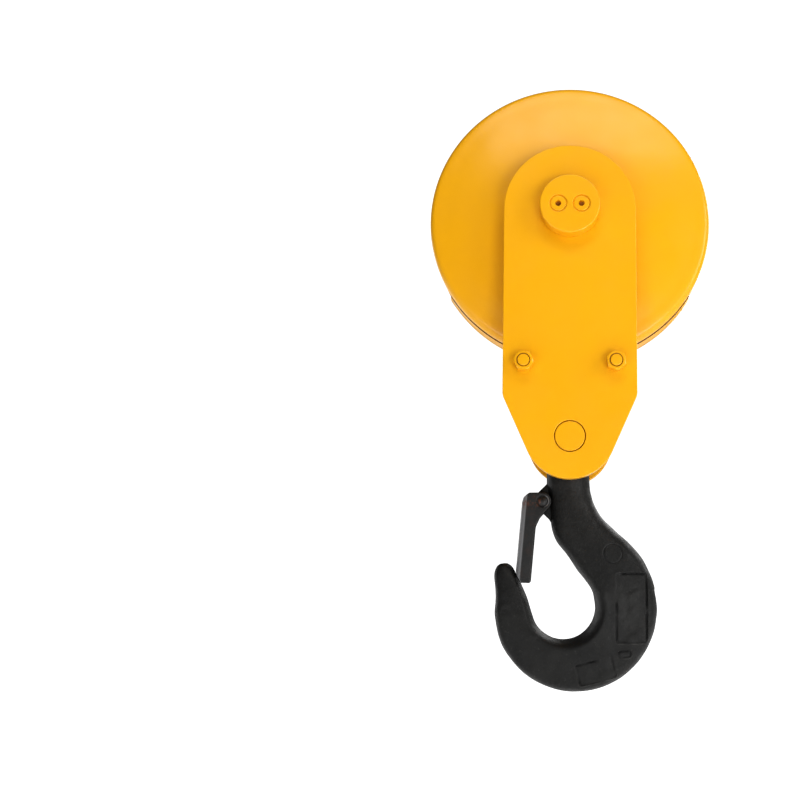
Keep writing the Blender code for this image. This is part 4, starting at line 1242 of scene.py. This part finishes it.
def dress_kept_nodes():
    """The inner bearing pieces keep their CAD shape and take a machined finish."""
    finishes = {"bearing_steel": GROUND_STEEL, "plain_steel": TURNED_STEEL, "spring_steel": SPRING_STEEL}
    slots = {part["node"]: part["material_slot"] for part in frame["record"]["subparts"]}
    for name, node in frame["nodes"].items():
        if node.hide_render:
            continue
        node.data.materials.clear()
        node.data.materials.append(finishes[slots[name]])


# ---------------------------------------------------------------- studio

CAMERA_DISTANCE = 0.88867
CAMERA_ELEVATION = math.radians(-6.14)
CAMERA_AIM = Vector((0, 0, -0.23926))
CAMERA_LENS = 37.758
CAMERA_SHIFT = (-0.2124, 0.0593)
FLOOR_Z = -1.0
FLOOR_FILL = 0.6
SKY_FILL = 0.08


def make_camera():
    data = bpy.data.cameras.new("camera")
    data.lens = CAMERA_LENS
    data.sensor_width = 36
    data.shift_x, data.shift_y = CAMERA_SHIFT
    camera = new_object("camera", data)
    back = Vector((0, -math.cos(CAMERA_ELEVATION), math.sin(CAMERA_ELEVATION)))
    camera.location = CAMERA_AIM + back * CAMERA_DISTANCE
    camera.rotation_euler = (-back).to_track_quat("-Z", "Y").to_euler()
    bpy.context.scene.camera = camera


def add_light(name, place, aim, size, power):
    data = bpy.data.lights.new(name, "AREA")
    data.shape = "RECTANGLE"
    data.size, data.size_y = size
    data.energy = power
    light = new_object(name, data)
    light.location = place
    light.rotation_euler = (Vector(aim) - Vector(place)).to_track_quat("-Z", "Y").to_euler()
    light.visible_camera = False


def white_to_camera(tree, socket, fill):
    """Sets a strength to 1 where the camera sees it and to fill where it only lights the object."""
    path = tree.nodes.new("ShaderNodeLightPath")
    strength = tree.nodes.new("ShaderNodeMapRange")
    strength.inputs["To Min"].default_value = fill
    strength.inputs["To Max"].default_value = 1.0
    tree.links.new(path.outputs["Is Camera Ray"], strength.inputs["Value"])
    tree.links.new(strength.outputs["Result"], socket)


def make_floor():
    bpy.ops.mesh.primitive_circle_add(vertices=96, radius=12, fill_type="NGON", location=(0, 0, FLOOR_Z))
    floor = bpy.context.object
    floor.name = "floor"
    material = bpy.data.materials.new("pale_floor")
    material.use_nodes = True
    shader = material.node_tree.nodes["Principled BSDF"]
    shader.inputs["Base Color"].default_value = (0.9, 0.9, 0.9, 1)
    shader.inputs["Roughness"].default_value = 0.9
    shader.inputs["Specular IOR Level"].default_value = 0.0
    shader.inputs["Emission Color"].default_value = (1, 1, 1, 1)
    white_to_camera(material.node_tree, shader.inputs["Emission Strength"], FLOOR_FILL)
    floor.data.materials.append(material)


def make_world():
    world = bpy.data.worlds.new("studio")
    world.use_nodes = True
    tree = world.node_tree
    background = tree.nodes["Background"]
    white_to_camera(tree, background.inputs["Strength"], SKY_FILL)
    background.inputs["Color"].default_value = (1, 1, 1, 1)
    bpy.context.scene.world = world


def make_studio():
    make_camera()
    make_floor()
    make_world()
    add_light("softbox", (0.1, -1.2, 1.3), (0, 0, -0.1), (1.5, 0.6), 11)
    add_light("right_window", (1.7, -0.9, 0.3), (0, 0, -0.15), (0.9, 1.2), 14)
    add_light("right_card", (0.75, -1.5, -0.65), (0, 0, -0.1), (0.6, 0.4), 6)
    add_light("left_card", (-0.9, -1.5, -0.65), (0, 0, -0.1), (0.6, 0.35), 2.5)
    add_light("rear_softbox", (1.1, 1.7, 0.7), (0, 0, -0.15), (1.4, 1.2), 18)
    add_light("rear_window", (-1.5, 1.4, -0.1), (0, 0, -0.15), (1.0, 1.2), 6)
    bpy.context.scene.view_settings.view_transform = "Standard"
    bpy.context.scene.view_settings.look = "Medium High Contrast"


make_side_plates()
make_axle()
make_end_cap()
make_ties()
make_covers()
make_guards()
make_sheave()
make_crosshead()
make_hook_nut()
make_hook()
make_latch()
make_latch_pin()
make_latch_spring()
dress_kept_nodes()
make_studio()
